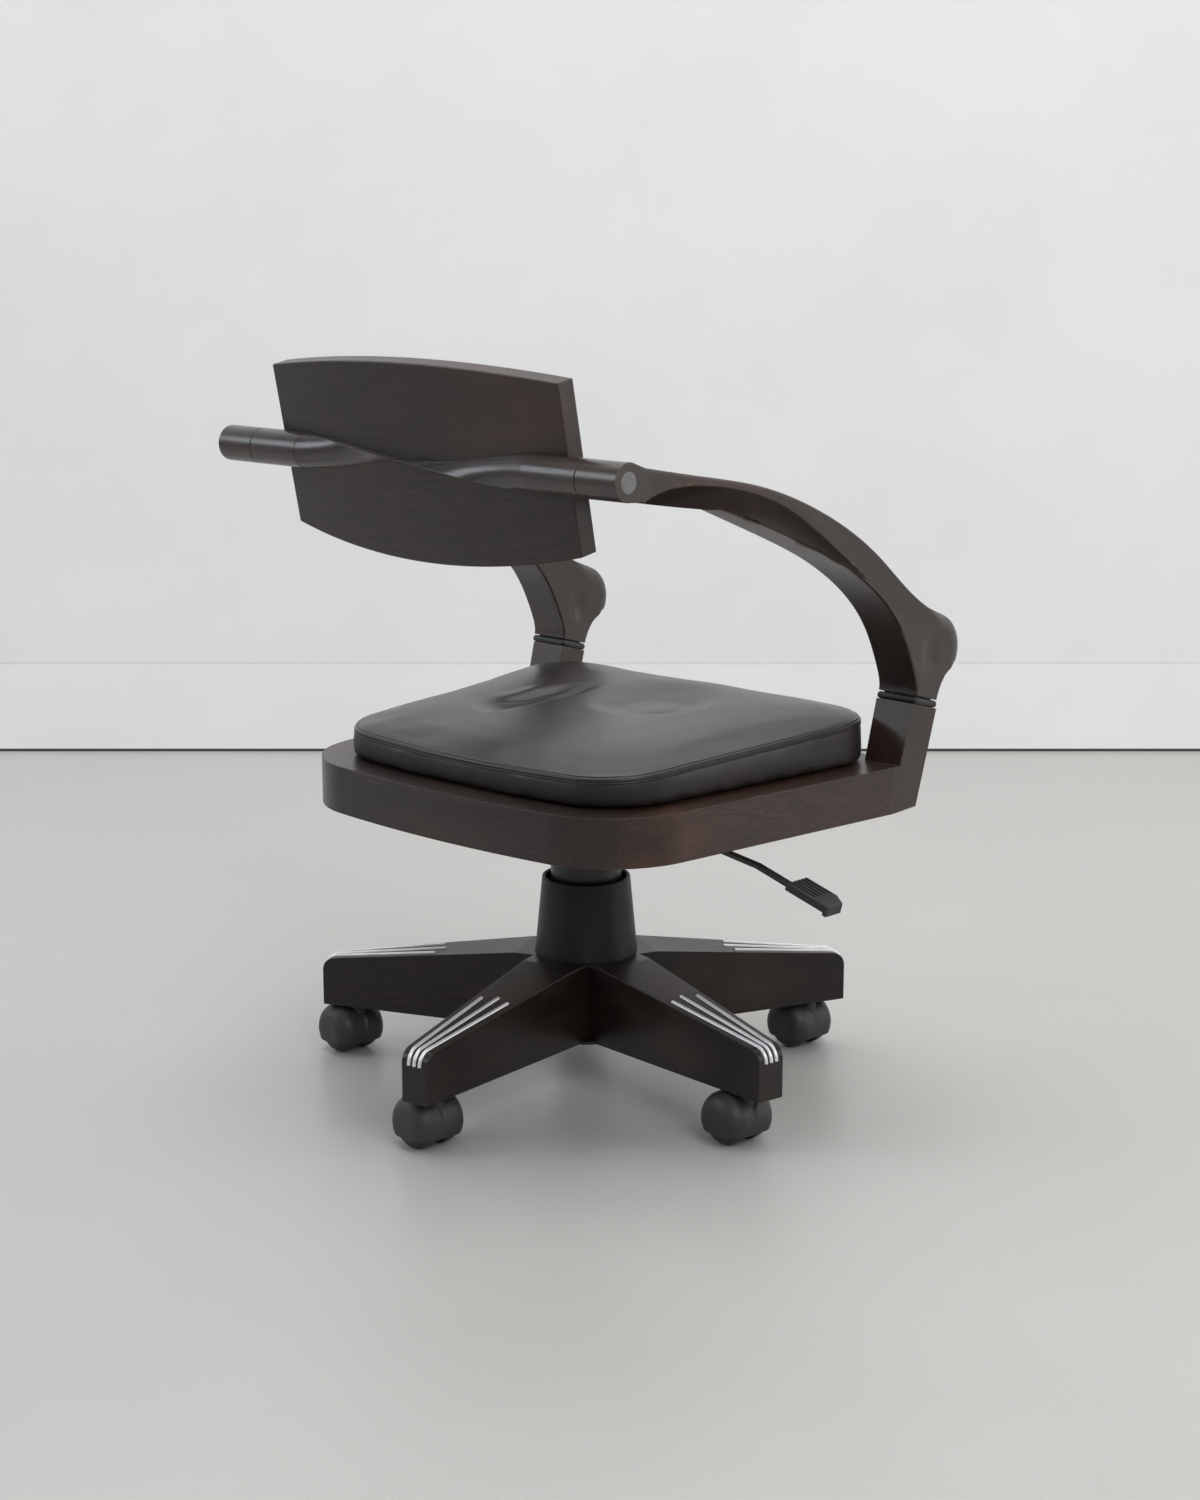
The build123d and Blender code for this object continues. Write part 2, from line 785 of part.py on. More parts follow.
with BuildPart() as lever_pin:
    with BuildSketch(lever_plane):
        with Locations((lever_arm, 0)):
            Circle(lever_pin_radius)
    extrude(amount=ear_offset + lever_ear_thickness, both=True)
    for side in (-1, 1):
        head_middle = ear_offset + lever_ear_thickness + lever_pin_head_height / 2
        with BuildSketch(lever_plane.offset(side * head_middle)):
            with Locations((lever_arm, 0)):
                Circle(lever_pin_head)
        extrude(amount=lever_pin_head_height / 2, both=True)
save(lever_pin.part, "lever_pin")

with BuildPart() as lever_paddle:
    with BuildSketch(paddle_plane) as paddle_plan:
        closed_outline(
            (0, paddle_near),
            (paddle_length, paddle_near),
            (paddle_length, paddle_far - paddle_chamfer_width),
            (paddle_length - paddle_chamfer_length, paddle_far),
            (0, paddle_far),
        )
    extrude(amount=paddle_thickness / 2, both=True)
    with BuildSketch(paddle_plane.offset(-paddle_thickness / 2)):
        with Locations((paddle_length, paddle_near)):
            Rectangle(paddle_lip_length, paddle_width - paddle_chamfer_width, align=(Align.MAX, Align.MIN))
    extrude(amount=-paddle_lip_drop)
    fillet(lever_paddle.faces().sort_by(Axis((0, 0, 0), paddle_plane.z_dir))[-1].edges(), paddle_edge)
    with BuildSketch(paddle_plane.offset(paddle_thickness / 2)):
        with Locations((paddle_groove_length / 2, paddle_side_step)):
            with GridLocations(paddle_groove_length, paddle_groove_pitch, 1, paddle_grooves):
                Rectangle(paddle_groove_length, paddle_groove_width)
    extrude(amount=-paddle_groove_depth, mode=Mode.SUBTRACT)
    with BuildSketch(paddle_plane):
        with Locations((paddle_socket / 2, 0)):
            Rectangle(paddle_socket + 2 * running_fit, lever_width + 2 * running_fit)
    extrude(amount=lever_thickness / 2 + running_fit, both=True, mode=Mode.SUBTRACT)
save(lever_paddle.part, "lever_paddle")

# Seat frame: a rear rail with the rounded corners, mitred to the side rails
rail_front = -post_joint_setback
rail_span = 2 * seat_rear_half


def rail_ring():
    """The three outer rails as one open band, for the sketch that calls it."""
    add(seat_outline(0, rail_front, seat_corner_radius))
    inner_corner = seat_corner_radius - rail_width
    add(seat_outline(rail_width, rail_front - rail_width, inner_corner), mode=Mode.SUBTRACT)


with BuildPart() as seat_rail_rear:
    with BuildSketch(Plane.XY.offset(frame_bottom)):
        rail_ring()
        with BuildLine():
            Polyline(
                (0, -mitre_set),
                (rail_span, rail_span - mitre_set),
                (-rail_span, rail_span - mitre_set),
                close=True,
            )
        make_face(mode=Mode.INTERSECT)
    extrude(amount=rail_height)
save(seat_rail_rear.part, "seat_rail_rear")

with BuildPart() as seat_rail_left:
    with BuildSketch(Plane.XY.offset(frame_bottom)):
        rail_ring()
        with BuildLine():
            Polyline(
                (0, -mitre_set),
                (rail_span, rail_span - mitre_set),
                (rail_span, -rail_span),
                (0, -rail_span),
                close=True,
            )
        make_face(mode=Mode.INTERSECT)
    extrude(amount=rail_height)
save(seat_rail_left.part, "seat_rail_left")

with BuildPart() as seat_rail_right:
    mirror(seat_rail_left.part, about=Plane.YZ)
save(seat_rail_right.part, "seat_rail_right")

with BuildPart() as seat_rail_front:
    with BuildSketch(Plane.XY.offset(frame_bottom)):
        with Locations((0, rail_front)):
            Rectangle(2 * arm_inner, front_rail_reach - post_joint_setback, align=(Align.CENTER, Align.MAX))
    extrude(amount=rail_height)
save(seat_rail_front.part, "seat_rail_front")

with BuildPart() as seat_panel:
    with BuildSketch(Plane.XY.offset(panel_bottom)):
        add(
            seat_outline(
                rail_width + glue_line,
                rail_front + glue_line,
                seat_corner_radius - rail_width - glue_line,
            )
        )
    extrude(amount=panel_thickness)
    with BuildSketch(Plane.XY.offset(panel_bottom)):
        with Locations(*seat_screw_places):
            Circle(seat_screw_radius + running_fit)
    extrude(amount=seat_screw_bite + face_gap, mode=Mode.SUBTRACT)
save(seat_panel.part, "seat_panel")

# Cushion: a boxed border that swells between its foot and its seam, and a crowned top.
# Each level is a further inset, a height above the rails and a forward tilt.
cushion_levels = [
    (0, 0, 0),
    (-cushion_swell, cushion_border / 2, cushion_tilt / 2),
    (cushion_tuck, cushion_border, cushion_tilt),
]
for further, share in cushion_crown_steps:
    cushion_levels.append((further, cushion_border + share * cushion_crown, cushion_tilt))

with BuildPart() as seat_cushion:
    for further, rise, tilt in cushion_levels:
        inset = cushion_inset + further
        level_up = (0, sin(radians(tilt)), cos(radians(tilt)))
        with BuildSketch(Plane((0, 0, frame_top + rise), x_dir=(1, 0, 0), z_dir=level_up)):
            add(
                seat_outline(
                    inset,
                    further - cushion_front_reach,
                    max(seat_corner_radius - inset, cushion_least_corner),
                    max(cushion_front_corner - further, cushion_least_corner),
                )
            )
    loft(ruled=True)
save(seat_cushion.part, "seat_cushion")

# Posts at the front of the seat; side views are drawn as (y, z)
lean = radians(post_lean)
post_up = Vector(-sin(lean), cos(lean))
post_across = Vector(cos(lean), sin(lean))
bead_centre = Vector(-post_setback, frame_top) + post_up * post_length - post_across * (post_depth / 2)
bead_plane = Plane(
    (arm_middle, bead_centre.X, bead_centre.Y),
    x_dir=(1, 0, 0),
    z_dir=(0, post_up.X, post_up.Y),
)
bead_reach = (face_gap + bead_height + bead_gap) / 2
post_top_middle = bead_centre - post_up * bead_reach
post_top_front = post_top_middle - post_across * (post_depth / 2)
post_top_rear = post_top_middle + post_across * (post_depth / 2)
post_toe_drop = (post_top_front.Y - frame_bottom - post_toe_rise) / cos(lean)
post_far = -2 * front_rail_reach

with BuildPart() as arm_post_left:
    with BuildSketch(Plane.YZ.offset(arm_inner)):
        closed_outline(
            (rail_front, frame_bottom),
            post_top_front - post_up * post_toe_drop,
            post_top_front,
            post_top_rear,
            (-post_setback, frame_top),
            (rail_front, frame_top),
        )
    extrude(amount=2 * arm_width)
    with BuildSketch(Plane.XY.offset(frame_bottom)):
        closed_outline(
            (arm_inner, rail_front),
            (side_half(rail_front), rail_front),
            (side_half(post_far), post_far),
            (arm_inner, post_far),
        )
    extrude(amount=rail_height + post_length, mode=Mode.INTERSECT)
    fillet(arm_post_left.faces().sort_by(Axis.X)[-1].edges().sort_by(Axis.Y)[0], rail_edge)
    with BuildSketch(bead_plane):
        Circle(stud_radius + running_fit)
    extrude(amount=-stud_down - face_gap, mode=Mode.SUBTRACT)
save(arm_post_left.part, "arm_post_left")

with BuildPart() as arm_post_right:
    mirror(arm_post_left.part, about=Plane.YZ)
save(arm_post_right.part, "arm_post_right")

with BuildPart() as bead_left:
    with BuildSketch(bead_plane.offset(face_gap - bead_reach)):
        RectangleRounded(arm_width + 2 * bead_proud, post_depth + 2 * bead_proud, bead_corner)
        Rectangle(arm_width - 2 * bead_width, post_depth - 2 * bead_width, mode=Mode.SUBTRACT)
    extrude(amount=bead_height)
    bead_rims = bead_left.faces().filter_by(bead_plane)
    fillet([edge for rim in bead_rims for edge in rim.outer_wire().edges()], bead_round)
    with BuildSketch(bead_plane.offset(-bead_reach)):
        Rectangle(arm_width - 2 * bead_lip_inset, post_depth - 2 * bead_lip_inset)
        Rectangle(arm_width - 2 * bead_width, post_depth - 2 * bead_width, mode=Mode.SUBTRACT)
    extrude(amount=bead_reach)
    with BuildSketch(bead_plane):
        Rectangle(arm_width - 2 * bead_tongue_inset, post_depth - 2 * bead_tongue_inset)
        Rectangle(arm_width - 2 * bead_width, post_depth - 2 * bead_width, mode=Mode.SUBTRACT)
    extrude(amount=bead_reach - bead_gap + bead_tongue_rise)

with BuildPart() as ankle_beads:
    add(bead_left.part)
    mirror(bead_left.part, about=Plane.YZ)
save(ankle_beads.part, "ankle_beads")

# Ankle joint inside each bead: a fork with its pin in the post, an eye in the arm
bead_side = Plane(bead_plane.origin, x_dir=bead_plane.y_dir, z_dir=bead_plane.x_dir)

with BuildPart() as fork_left:
    with BuildSketch(bead_plane.offset(-stud_down)):
        Circle(stud_radius)
    extrude(amount=stud_down + fork_rise)
    with BuildSketch(bead_plane.offset(-fork_floor)):
        Rectangle(2 * (eye_half_width + thrust_gap), 2 * stud_radius)
    extrude(amount=fork_floor + fork_rise, mode=Mode.SUBTRACT)
    with BuildSketch(bead_side):
        Circle(eye_pin_radius)
    extrude(amount=eye_pin_half, both=True)

with BuildPart() as ankle_forks:
    add(fork_left.part)
    mirror(fork_left.part, about=Plane.YZ)
save(ankle_forks.part, "ankle_forks")

with BuildPart() as eye_left:
    with BuildSketch(bead_plane.offset(bead_reach + face_gap)):
        Circle(stud_radius)
    extrude(amount=stud_up - bead_reach - face_gap)
    with BuildSketch(bead_side):
        Circle(eye_radius)
        Rectangle(2 * eye_radius, stud_up, align=(Align.CENTER, Align.MIN))
    extrude(amount=eye_half_width, both=True)
    with BuildSketch(bead_side):
        Circle(eye_pin_radius + running_fit)
    extrude(amount=eye_half_width, both=True, mode=Mode.SUBTRACT)

with BuildPart() as arm_eyes:
    add(eye_left.part)
    mirror(eye_left.part, about=Plane.YZ)
save(arm_eyes.part, "arm_eyes")

# Arms
rod_axis = Vector(rod_behind, rod_level)
joint_drop = radians(arm_joint_drop)
joint_along = Vector(-cos(joint_drop), -sin(joint_drop))
joint_across = Vector(-sin(joint_drop), cos(joint_drop))
joint = rod_axis + joint_along * back_rod_radius
joint_top = joint + joint_across * (arm_joint_height / 2)
joint_bottom = joint - joint_across * (arm_joint_height / 2)
joint_run = Vector(-cos(radians(arm_end_slope)), -sin(radians(arm_end_slope)))
foot_middle = bead_centre + post_up * bead_reach
foot_front = foot_middle - post_across * (post_depth / 2)
foot_rear = foot_middle + post_across * (post_depth / 2)
knee = bead_centre + Vector(-knee_forward, knee_up)
knee_top = knee + Vector(cos(radians(knee_start)), sin(radians(knee_start))) * knee_radius
knee_nose = knee + Vector(cos(radians(knee_end)), sin(radians(knee_end))) * knee_radius
knee_run = Vector(-sin(radians(knee_start)), cos(radians(knee_start)))
arm_chord = joint - bead_centre
arm_rise = Vector(-arm_chord.Y, arm_chord.X).normalized()


def arm_point(share, rise):
    """Point of the arm's side view, from its place along the chord and its rise above it."""
    return bead_centre + arm_chord * share + arm_rise * rise


pocket_inset = bead_tongue_inset - bead_tongue_clear
with BuildLine(Plane.YZ) as arm_underside:
    Spline(
        foot_rear,
        *[arm_point(share, rise) for share, rise in arm_under_points],
        joint_bottom,
        tangents=(post_up, joint_run * -1),
    )

with BuildPart() as arm_left:
    with BuildSketch(Plane.YZ.offset(arm_inner)):
        with BuildLine():
            Spline(
                joint_top,
                *[arm_point(share, rise) for share, rise in arm_top_points],
                knee_top,
                tangents=(joint_run, knee_run),
            )
            CenterArc(knee, knee_radius, knee_start, knee_end - knee_start)
            TangentArc(foot_front, knee_nose, tangent=post_up)
            Line(foot_front, foot_rear)
            Spline(
                foot_rear,
                *[arm_point(share, rise) for share, rise in arm_under_points],
                joint_bottom,
                tangents=(post_up, joint_run * -1),
            )
            Line(joint_bottom, joint_top)
        make_face()
    extrude(amount=arm_width)
    arm_faces = arm_left.faces().filter_by(Plane.YZ)
    fillet(arm_faces.edges().filter_by(GeomType.LINE, reverse=True), arm_edge)
    with BuildSketch(bead_plane):
        Circle(stud_radius + running_fit)
    extrude(amount=stud_up + face_gap, mode=Mode.SUBTRACT)
    with BuildSketch(bead_plane):
        Rectangle(arm_width - 2 * pocket_inset, post_depth - 2 * pocket_inset)
    extrude(amount=bead_reach - bead_gap + bead_tongue_rise + bead_tongue_clear, mode=Mode.SUBTRACT)
    for place, height, undercut, hollow in facet_stations:
        edge_point = arm_underside.line @ place
        edge_run = arm_underside.line % place
        station = Plane(
            (arm_outer, edge_point.X, edge_point.Y),
            x_dir=(1, 0, 0),
            z_dir=(0, edge_run.X, edge_run.Y),
        )
        upper = Vector(0, -height)
        lower = Vector(-undercut, 0)
        deepest = (upper + lower) / 2 + Vector(-height, -undercut).normalized() * hollow
        with BuildSketch(station):
            with BuildLine():
                ThreePointArc(upper, deepest, lower)
                Polyline(
                    lower,
                    (-undercut, facet_overrun),
                    (facet_overrun, facet_overrun),
                    (facet_overrun, -height),
                    upper,
                )
            make_face()
    loft(mode=Mode.SUBTRACT)
save(arm_left.part, "arm_left")

with BuildPart() as arm_right:
    mirror(arm_left.part, about=Plane.YZ)
save(arm_right.part, "arm_right")

# Knuckles and pivots
pivot_plane = Plane((0, rod_behind, rod_level), x_dir=(0, 1, 0), z_dir=(1, 0, 0))
bush_radius = pivot_radius + running_fit + pivot_bush_wall

with BuildPart() as knuckle_left:
    with BuildSketch(Plane.YZ.offset(arm_inner)):
        with Locations(rod_axis):
            Circle(back_rod_radius)
        closed_outline(
            joint_top,
            joint_bottom,
            rod_axis - joint_across * back_rod_radius,
            rod_axis + joint_across * back_rod_radius,
        )
    extrude(amount=arm_width)
    with BuildSketch(pivot_plane.offset(arm_inner)):
        Circle(pivot_radius + running_fit)
    extrude(amount=arm_width, mode=Mode.SUBTRACT)
    with BuildSketch(pivot_plane.offset(arm_outer)):
        Circle(pivot_cap_radius + running_fit)
    extrude(amount=-pivot_cap_height, mode=Mode.SUBTRACT)

with BuildPart() as arm_knuckles:
    add(knuckle_left.part)
    mirror(knuckle_left.part, about=Plane.YZ)
save(arm_knuckles.part, "arm_knuckles")

with BuildPart() as pivot_left:
    with BuildSketch(pivot_plane.offset(rod_half - pivot_grip + face_gap)):
        Circle(pivot_radius)
    extrude(amount=arm_outer - pivot_cap_height - rod_half + pivot_grip - face_gap)
    with BuildSketch(pivot_plane.offset(arm_outer - pivot_cap_height)):
        Circle(pivot_cap_radius)
    extrude(amount=pivot_cap_height)
    with BuildSketch(pivot_plane.offset(arm_inner - washer_thickness)):
        Circle(back_rod_radius - washer_step)
        Circle(pivot_radius + running_fit, mode=Mode.SUBTRACT)
    extrude(amount=washer_thickness)

with BuildPart() as pivot_hardware:
    add(pivot_left.part)
    mirror(pivot_left.part, about=Plane.YZ)
save(pivot_hardware.part, "pivot_hardware")

with BuildPart() as bush_left:
    with BuildSketch(pivot_plane.offset(rod_half - pivot_grip)):
        Circle(bush_radius)
        Circle(pivot_radius + running_fit, mode=Mode.SUBTRACT)
    extrude(amount=pivot_grip)

with BuildPart() as back_bushes:
    add(bush_left.part)
    mirror(bush_left.part, about=Plane.YZ)
save(back_bushes.part, "back_bushes")

# Twisted rod and back panel
back_lean = radians(back_tilt)
back_up = Vector(0, sin(back_lean), cos(back_lean))
back_rear = Vector(0, cos(back_lean), -sin(back_lean))
back_origin = Vector(0, rod_behind + back_set_rear, rod_level)
back_plan = Plane(back_origin, x_dir=(1, 0, 0), z_dir=back_up)
back_front = Plane(back_origin, x_dir=(1, 0, 0), z_dir=back_rear * -1)

with BuildPart() as back_panel:
    with BuildSketch(back_plan):
        with BuildLine():
            ThreePointArc((-back_half_width, -back_sag), (0, 0), (back_half_width, -back_sag))
            Line((back_half_width, -back_sag), (back_half_width, -back_sag - back_thickness))
            ThreePointArc(
                (back_half_width, -back_sag - back_thickness),
                (0, -back_thickness),
                (-back_half_width, -back_sag - back_thickness),
            )
            Line((-back_half_width, -back_sag - back_thickness), (-back_half_width, -back_sag))
        make_face()
    extrude(amount=2 * back_bottom, both=True)
    with BuildSketch(back_front):
        with BuildLine():
            ThreePointArc(
                (-back_half_width, back_top_corner),
                (0, back_top),
                (back_half_width, back_top_corner),
            )
            Line((back_half_width, back_top_corner), (back_half_width, -back_bottom_corner))
            ThreePointArc(
                (back_half_width, -back_bottom_corner),
                (0, -back_bottom),
                (-back_half_width, -back_bottom_corner),
            )
            Line((-back_half_width, -back_bottom_corner), (-back_half_width, back_top_corner))
        make_face()
    extrude(amount=3 * back_thickness, both=True, mode=Mode.INTERSECT)
    fillet(back_panel.edges(), back_edge)
save(back_panel.part, "back_panel")

blade_half_width = back_rod_radius - blade_end_step
blade_swell = blade_half_width - blade_end_step - blade_half_thickness

with BuildPart() as back_rod:
    for step in range(-twist_steps, twist_steps + 1):
        share = abs(step) / twist_steps
        place = blade_length * step / twist_steps
        twist = radians(90 * (abs(place) / twist_half_length) ** twist_growth)
        across = (0, cos(twist), sin(twist) if step > 0 else -sin(twist))
        belly = blade_half_thickness + blade_swell * share**blade_growth
        with BuildSketch(Plane((place, rod_behind, rod_level), x_dir=across, z_dir=(1, 0, 0))):
            with BuildLine():
                ThreePointArc((blade_half_width, 0), (0, belly), (-blade_half_width, 0))
                ThreePointArc((-blade_half_width, 0), (0, -belly), (blade_half_width, 0))
            make_face()
    loft()
    for side in (-1, 1):
        with BuildSketch(pivot_plane.offset(side * blade_length)):
            Circle(back_rod_radius)
        extrude(amount=side * (rod_half - blade_length))
        with BuildSketch(pivot_plane.offset(side * rod_half)):
            Circle(bush_radius + running_fit)
        extrude(amount=-side * (pivot_grip + face_gap), mode=Mode.SUBTRACT)
    with BuildSketch(back_plan):
        with BuildLine():
            ThreePointArc(
                (-back_half_width - face_gap, glue_line - back_sag),
                (0, glue_line),
                (back_half_width + face_gap, glue_line - back_sag),
            )
            Polyline(
                (back_half_width + face_gap, glue_line - back_sag),
                (back_half_width + face_gap, -back_sag - 2 * back_thickness),
                (-back_half_width - face_gap, -back_sag - 2 * back_thickness),
                (-back_half_width - face_gap, glue_line - back_sag),
            )
        make_face()
    extrude(amount=2 * back_rod_radius, both=True, mode=Mode.SUBTRACT)
save(back_rod.part, "back_rod")
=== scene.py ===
import math

import bmesh
import bpy
import numpy as np
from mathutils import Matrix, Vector
from mathutils.bvhtree import BVHTree


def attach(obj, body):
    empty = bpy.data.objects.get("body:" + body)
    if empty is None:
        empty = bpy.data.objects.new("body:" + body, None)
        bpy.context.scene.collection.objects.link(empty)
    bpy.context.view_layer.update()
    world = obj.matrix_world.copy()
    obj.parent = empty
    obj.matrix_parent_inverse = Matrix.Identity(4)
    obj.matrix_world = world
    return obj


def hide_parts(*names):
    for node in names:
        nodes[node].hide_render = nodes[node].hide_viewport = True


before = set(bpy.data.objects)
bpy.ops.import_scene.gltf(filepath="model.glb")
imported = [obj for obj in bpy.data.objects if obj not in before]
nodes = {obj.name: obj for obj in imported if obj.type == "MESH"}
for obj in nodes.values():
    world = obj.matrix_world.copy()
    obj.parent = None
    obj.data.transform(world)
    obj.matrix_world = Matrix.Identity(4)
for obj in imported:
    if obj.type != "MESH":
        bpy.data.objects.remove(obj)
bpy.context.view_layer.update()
scene = bpy.context.scene

# Sizes shared with the model, in metres
FRAME_TOP = 0.3554
SEAT_REAR = 0.2022
SEAT_BOW = 0.0213
SEAT_HALF = 0.2337
SEAT_FLARE = math.radians(6.03)
CUSHION_INSET = 0.036
CUSHION_FRONT = 0.204
CUSHION_TILT = math.tan(math.radians(2.5))
CUSHION_BORDER = 0.038
BASE_TURN = 27.0
LEG_STEP = 72.0
LEG_FALL = 0.1
POST_LEAN = math.radians(15.5)
ARM_MIDDLE = 0.254
ARM_HALF = 0.025
KNEE = np.array([-0.2479, 0.47005])
KNEE_RADIUS = 0.0325
KNEE_SECTOR = (114.0, 207.0)
casters = range(1, 6)


# Node materials


class Shader:
    """A material with short calls for adding and joining its nodes."""

    def __init__(self, name):
        self.material = bpy.data.materials.new(name)
        self.material.use_nodes = True
        self.tree = self.material.node_tree
        self.principled = self.tree.nodes["Principled BSDF"]
        self.coords = self.add("ShaderNodeTexCoord").outputs["Object"]

    def add(self, kind, **settings):
        node = self.tree.nodes.new(kind)
        for key, value in settings.items():
            setattr(node, key, value)
        return node

    def link(self, source, target):
        self.tree.links.new(source, target)

    def set(self, **values):
        for key, value in values.items():
            self.principled.inputs[key.replace("_", " ")].default_value = value

    def mapped(self, scale, turn=(0, 0, 0)):
        """Object coordinates, turned and then stretched."""
        turned = self.add("ShaderNodeMapping")
        turned.inputs["Rotation"].default_value = turn
        self.link(self.coords, turned.inputs["Vector"])
        stretched = self.add("ShaderNodeMapping")
        stretched.inputs["Scale"].default_value = scale
        self.link(turned.outputs["Vector"], stretched.inputs["Vector"])
        return stretched.outputs["Vector"]

    def noise(self, vector, scale=1.0, detail=4.0, rough=0.55, distortion=0.0):
        node = self.add("ShaderNodeTexNoise")
        self.link(vector, node.inputs["Vector"])
        node.inputs["Scale"].default_value = scale
        node.inputs["Detail"].default_value = detail
        node.inputs["Roughness"].default_value = rough
        node.inputs["Distortion"].default_value = distortion
        return node.outputs["Fac"]

    def voronoi(self, vector, scale, feature="F1", smooth=None):
        node = self.add("ShaderNodeTexVoronoi", feature=feature)
        self.link(vector, node.inputs["Vector"])
        node.inputs["Scale"].default_value = scale
        if smooth is not None:
            node.inputs["Smoothness"].default_value = smooth
        return node.outputs["Distance"]

    def range(self, value, low, high, to_low=0.0, to_high=1.0):
        node = self.add("ShaderNodeMapRange", interpolation_type="SMOOTHSTEP")
        self.link(value, node.inputs["Value"])
        node.inputs["From Min"].default_value = low
        node.inputs["From Max"].default_value = high
        node.inputs["To Min"].default_value = to_low
        node.inputs["To Max"].default_value = to_high
        return node.outputs["Result"]

    def math(self, operation, a, b):
        node = self.add("ShaderNodeMath", operation=operation)
        for value, socket in ((a, node.inputs[0]), (b, node.inputs[1])):
            if isinstance(value, (int, float)):
                socket.default_value = value
            else:
                self.link(value, socket)
        return node.outputs["Value"]

    def mix(self, factor, a, b):
        node = self.add("ShaderNodeMix", data_type="RGBA")
        self.link(factor, node.inputs[0])
        for value, socket in ((a, node.inputs[6]), (b, node.inputs[7])):
            if isinstance(value, tuple):
                socket.default_value = (*value, 1.0)
            else:
                self.link(value, socket)
        return node.outputs[2]

    def bump(self, height, distance, strength=1.0, normal=None):
        node = self.add("ShaderNodeBump")
        self.link(height, node.inputs["Height"])
        node.inputs["Distance"].default_value = distance
        node.inputs["Strength"].default_value = strength
        if normal is not None:
            self.link(normal, node.inputs["Normal"])
        return node.outputs["Normal"]

    def soft_edges(self, radius):
        """Normals rounded over the edges, and a mask that is 1 on the edges themselves."""
        node = self.add("ShaderNodeBevel", samples=6)
        node.inputs["Radius"].default_value = radius
        flat = self.add("ShaderNodeNewGeometry").outputs["True Normal"]
        dot = self.add("ShaderNodeVectorMath", operation="DOT_PRODUCT")
        self.link(node.outputs["Normal"], dot.inputs[0])
        self.link(flat, dot.inputs[1])
        edge = self.range(dot.outputs["Value"], 0.995, 0.86)
        return node.outputs["Normal"], edge

    def finish(self, colour, roughness, normal):
        self.link(colour, self.principled.inputs["Base Color"])
        self.link(roughness, self.principled.inputs["Roughness"])
        self.link(normal, self.principled.inputs["Normal"])
        return self.material


BARE_BEECH = (0.30, 0.165, 0.09)
BARE_STEEL = (0.16, 0.155, 0.15)
HIDE_DARK = (0.0120, 0.0085, 0.0075)
HIDE_LIGHT = (0.0215, 0.0155, 0.0135)
# Painted shade for the creases of the grain.
HIDE_CREASE_SHADE = (0.0062, 0.0048, 0.0044)


def along(direction):
    """Turn that brings a grain direction onto the texture's X axis."""
    back = Vector(direction).to_track_quat("X", "Z").to_matrix().inverted()
    return tuple(back.to_euler())


def scaled(colour, share):
    """A colour made darker or lighter."""
    return tuple(min(1.0, part * share) for part in colour)


def wood(name, grain, dark, light, flush, rough=0.36, worn=0.6, shine=0.4, coat=0.15):
    """Dark stained beech: fine fibres and short pores, a patchy stain, worn arrises, thin lacquer; faces
    marked as the arm's facet get painted shade.
    """
    s = Shader(name)
    turn = along(grain)
    fibre = s.noise(s.mapped((9, 520, 520), turn), detail=6.0, rough=0.6)
    pores = s.noise(s.mapped((70, 1500, 1500), turn), detail=2.0)
    figure = s.noise(s.mapped((2.2, 26, 26), turn), detail=3.0, distortion=0.6)
    patch = s.noise(s.mapped((5, 9, 9), turn), detail=3.0)
    rub = s.noise(s.mapped((38, 38, 38)), detail=5.0, rough=0.7)
    normal, edges = s.soft_edges(0.0012)
    colour = s.mix(s.range(fibre, 0.34, 0.68), dark, light)
    colour = s.mix(s.range(figure, 0.35, 0.7, 0.0, 0.55), colour, dark)
    colour = s.mix(s.range(patch, 0.46, 0.72, 0.0, 0.85), colour, flush)
    colour = s.mix(s.range(pores, 0.63, 0.74, 0.0, 0.75), colour, scaled(dark, 0.35))
    chipped = s.math("MULTIPLY", edges, s.range(rub, 0.52, 0.66, 0.14 * worn, worn))
    colour = s.mix(chipped, colour, BARE_BEECH)
    dulled = s.range(pores, 0.6, 0.75, 0.0, 0.2)
    gloss = s.math("ADD", s.range(patch, 0.3, 0.7, rough - 0.04, rough + 0.06), dulled)
    normal = s.bump(fibre, 0.00012, 0.3, normal)
    normal = s.bump(s.range(pores, 0.6, 0.75, 1.0, 0.0), 0.00012, 0.45, normal)
    s.set(Coat_Roughness=0.2)
    # Faces marked as the arm's facet get painted shade: a darker colour, with less specular and no coat.
    facet_painted_shade = s.add("ShaderNodeAttribute", attribute_name="facet").outputs["Fac"]
    colour = s.mix(s.math("MULTIPLY", facet_painted_shade, 0.6), colour, scaled(dark, 0.4))
    s.link(s.range(facet_painted_shade, 0.0, 1.0, shine, 0.16), s.principled.inputs["Specular IOR Level"])
    s.link(s.range(facet_painted_shade, 0.0, 1.0, coat, 0.0), s.principled.inputs["Coat Weight"])
    return s.finish(colour, gloss, normal)


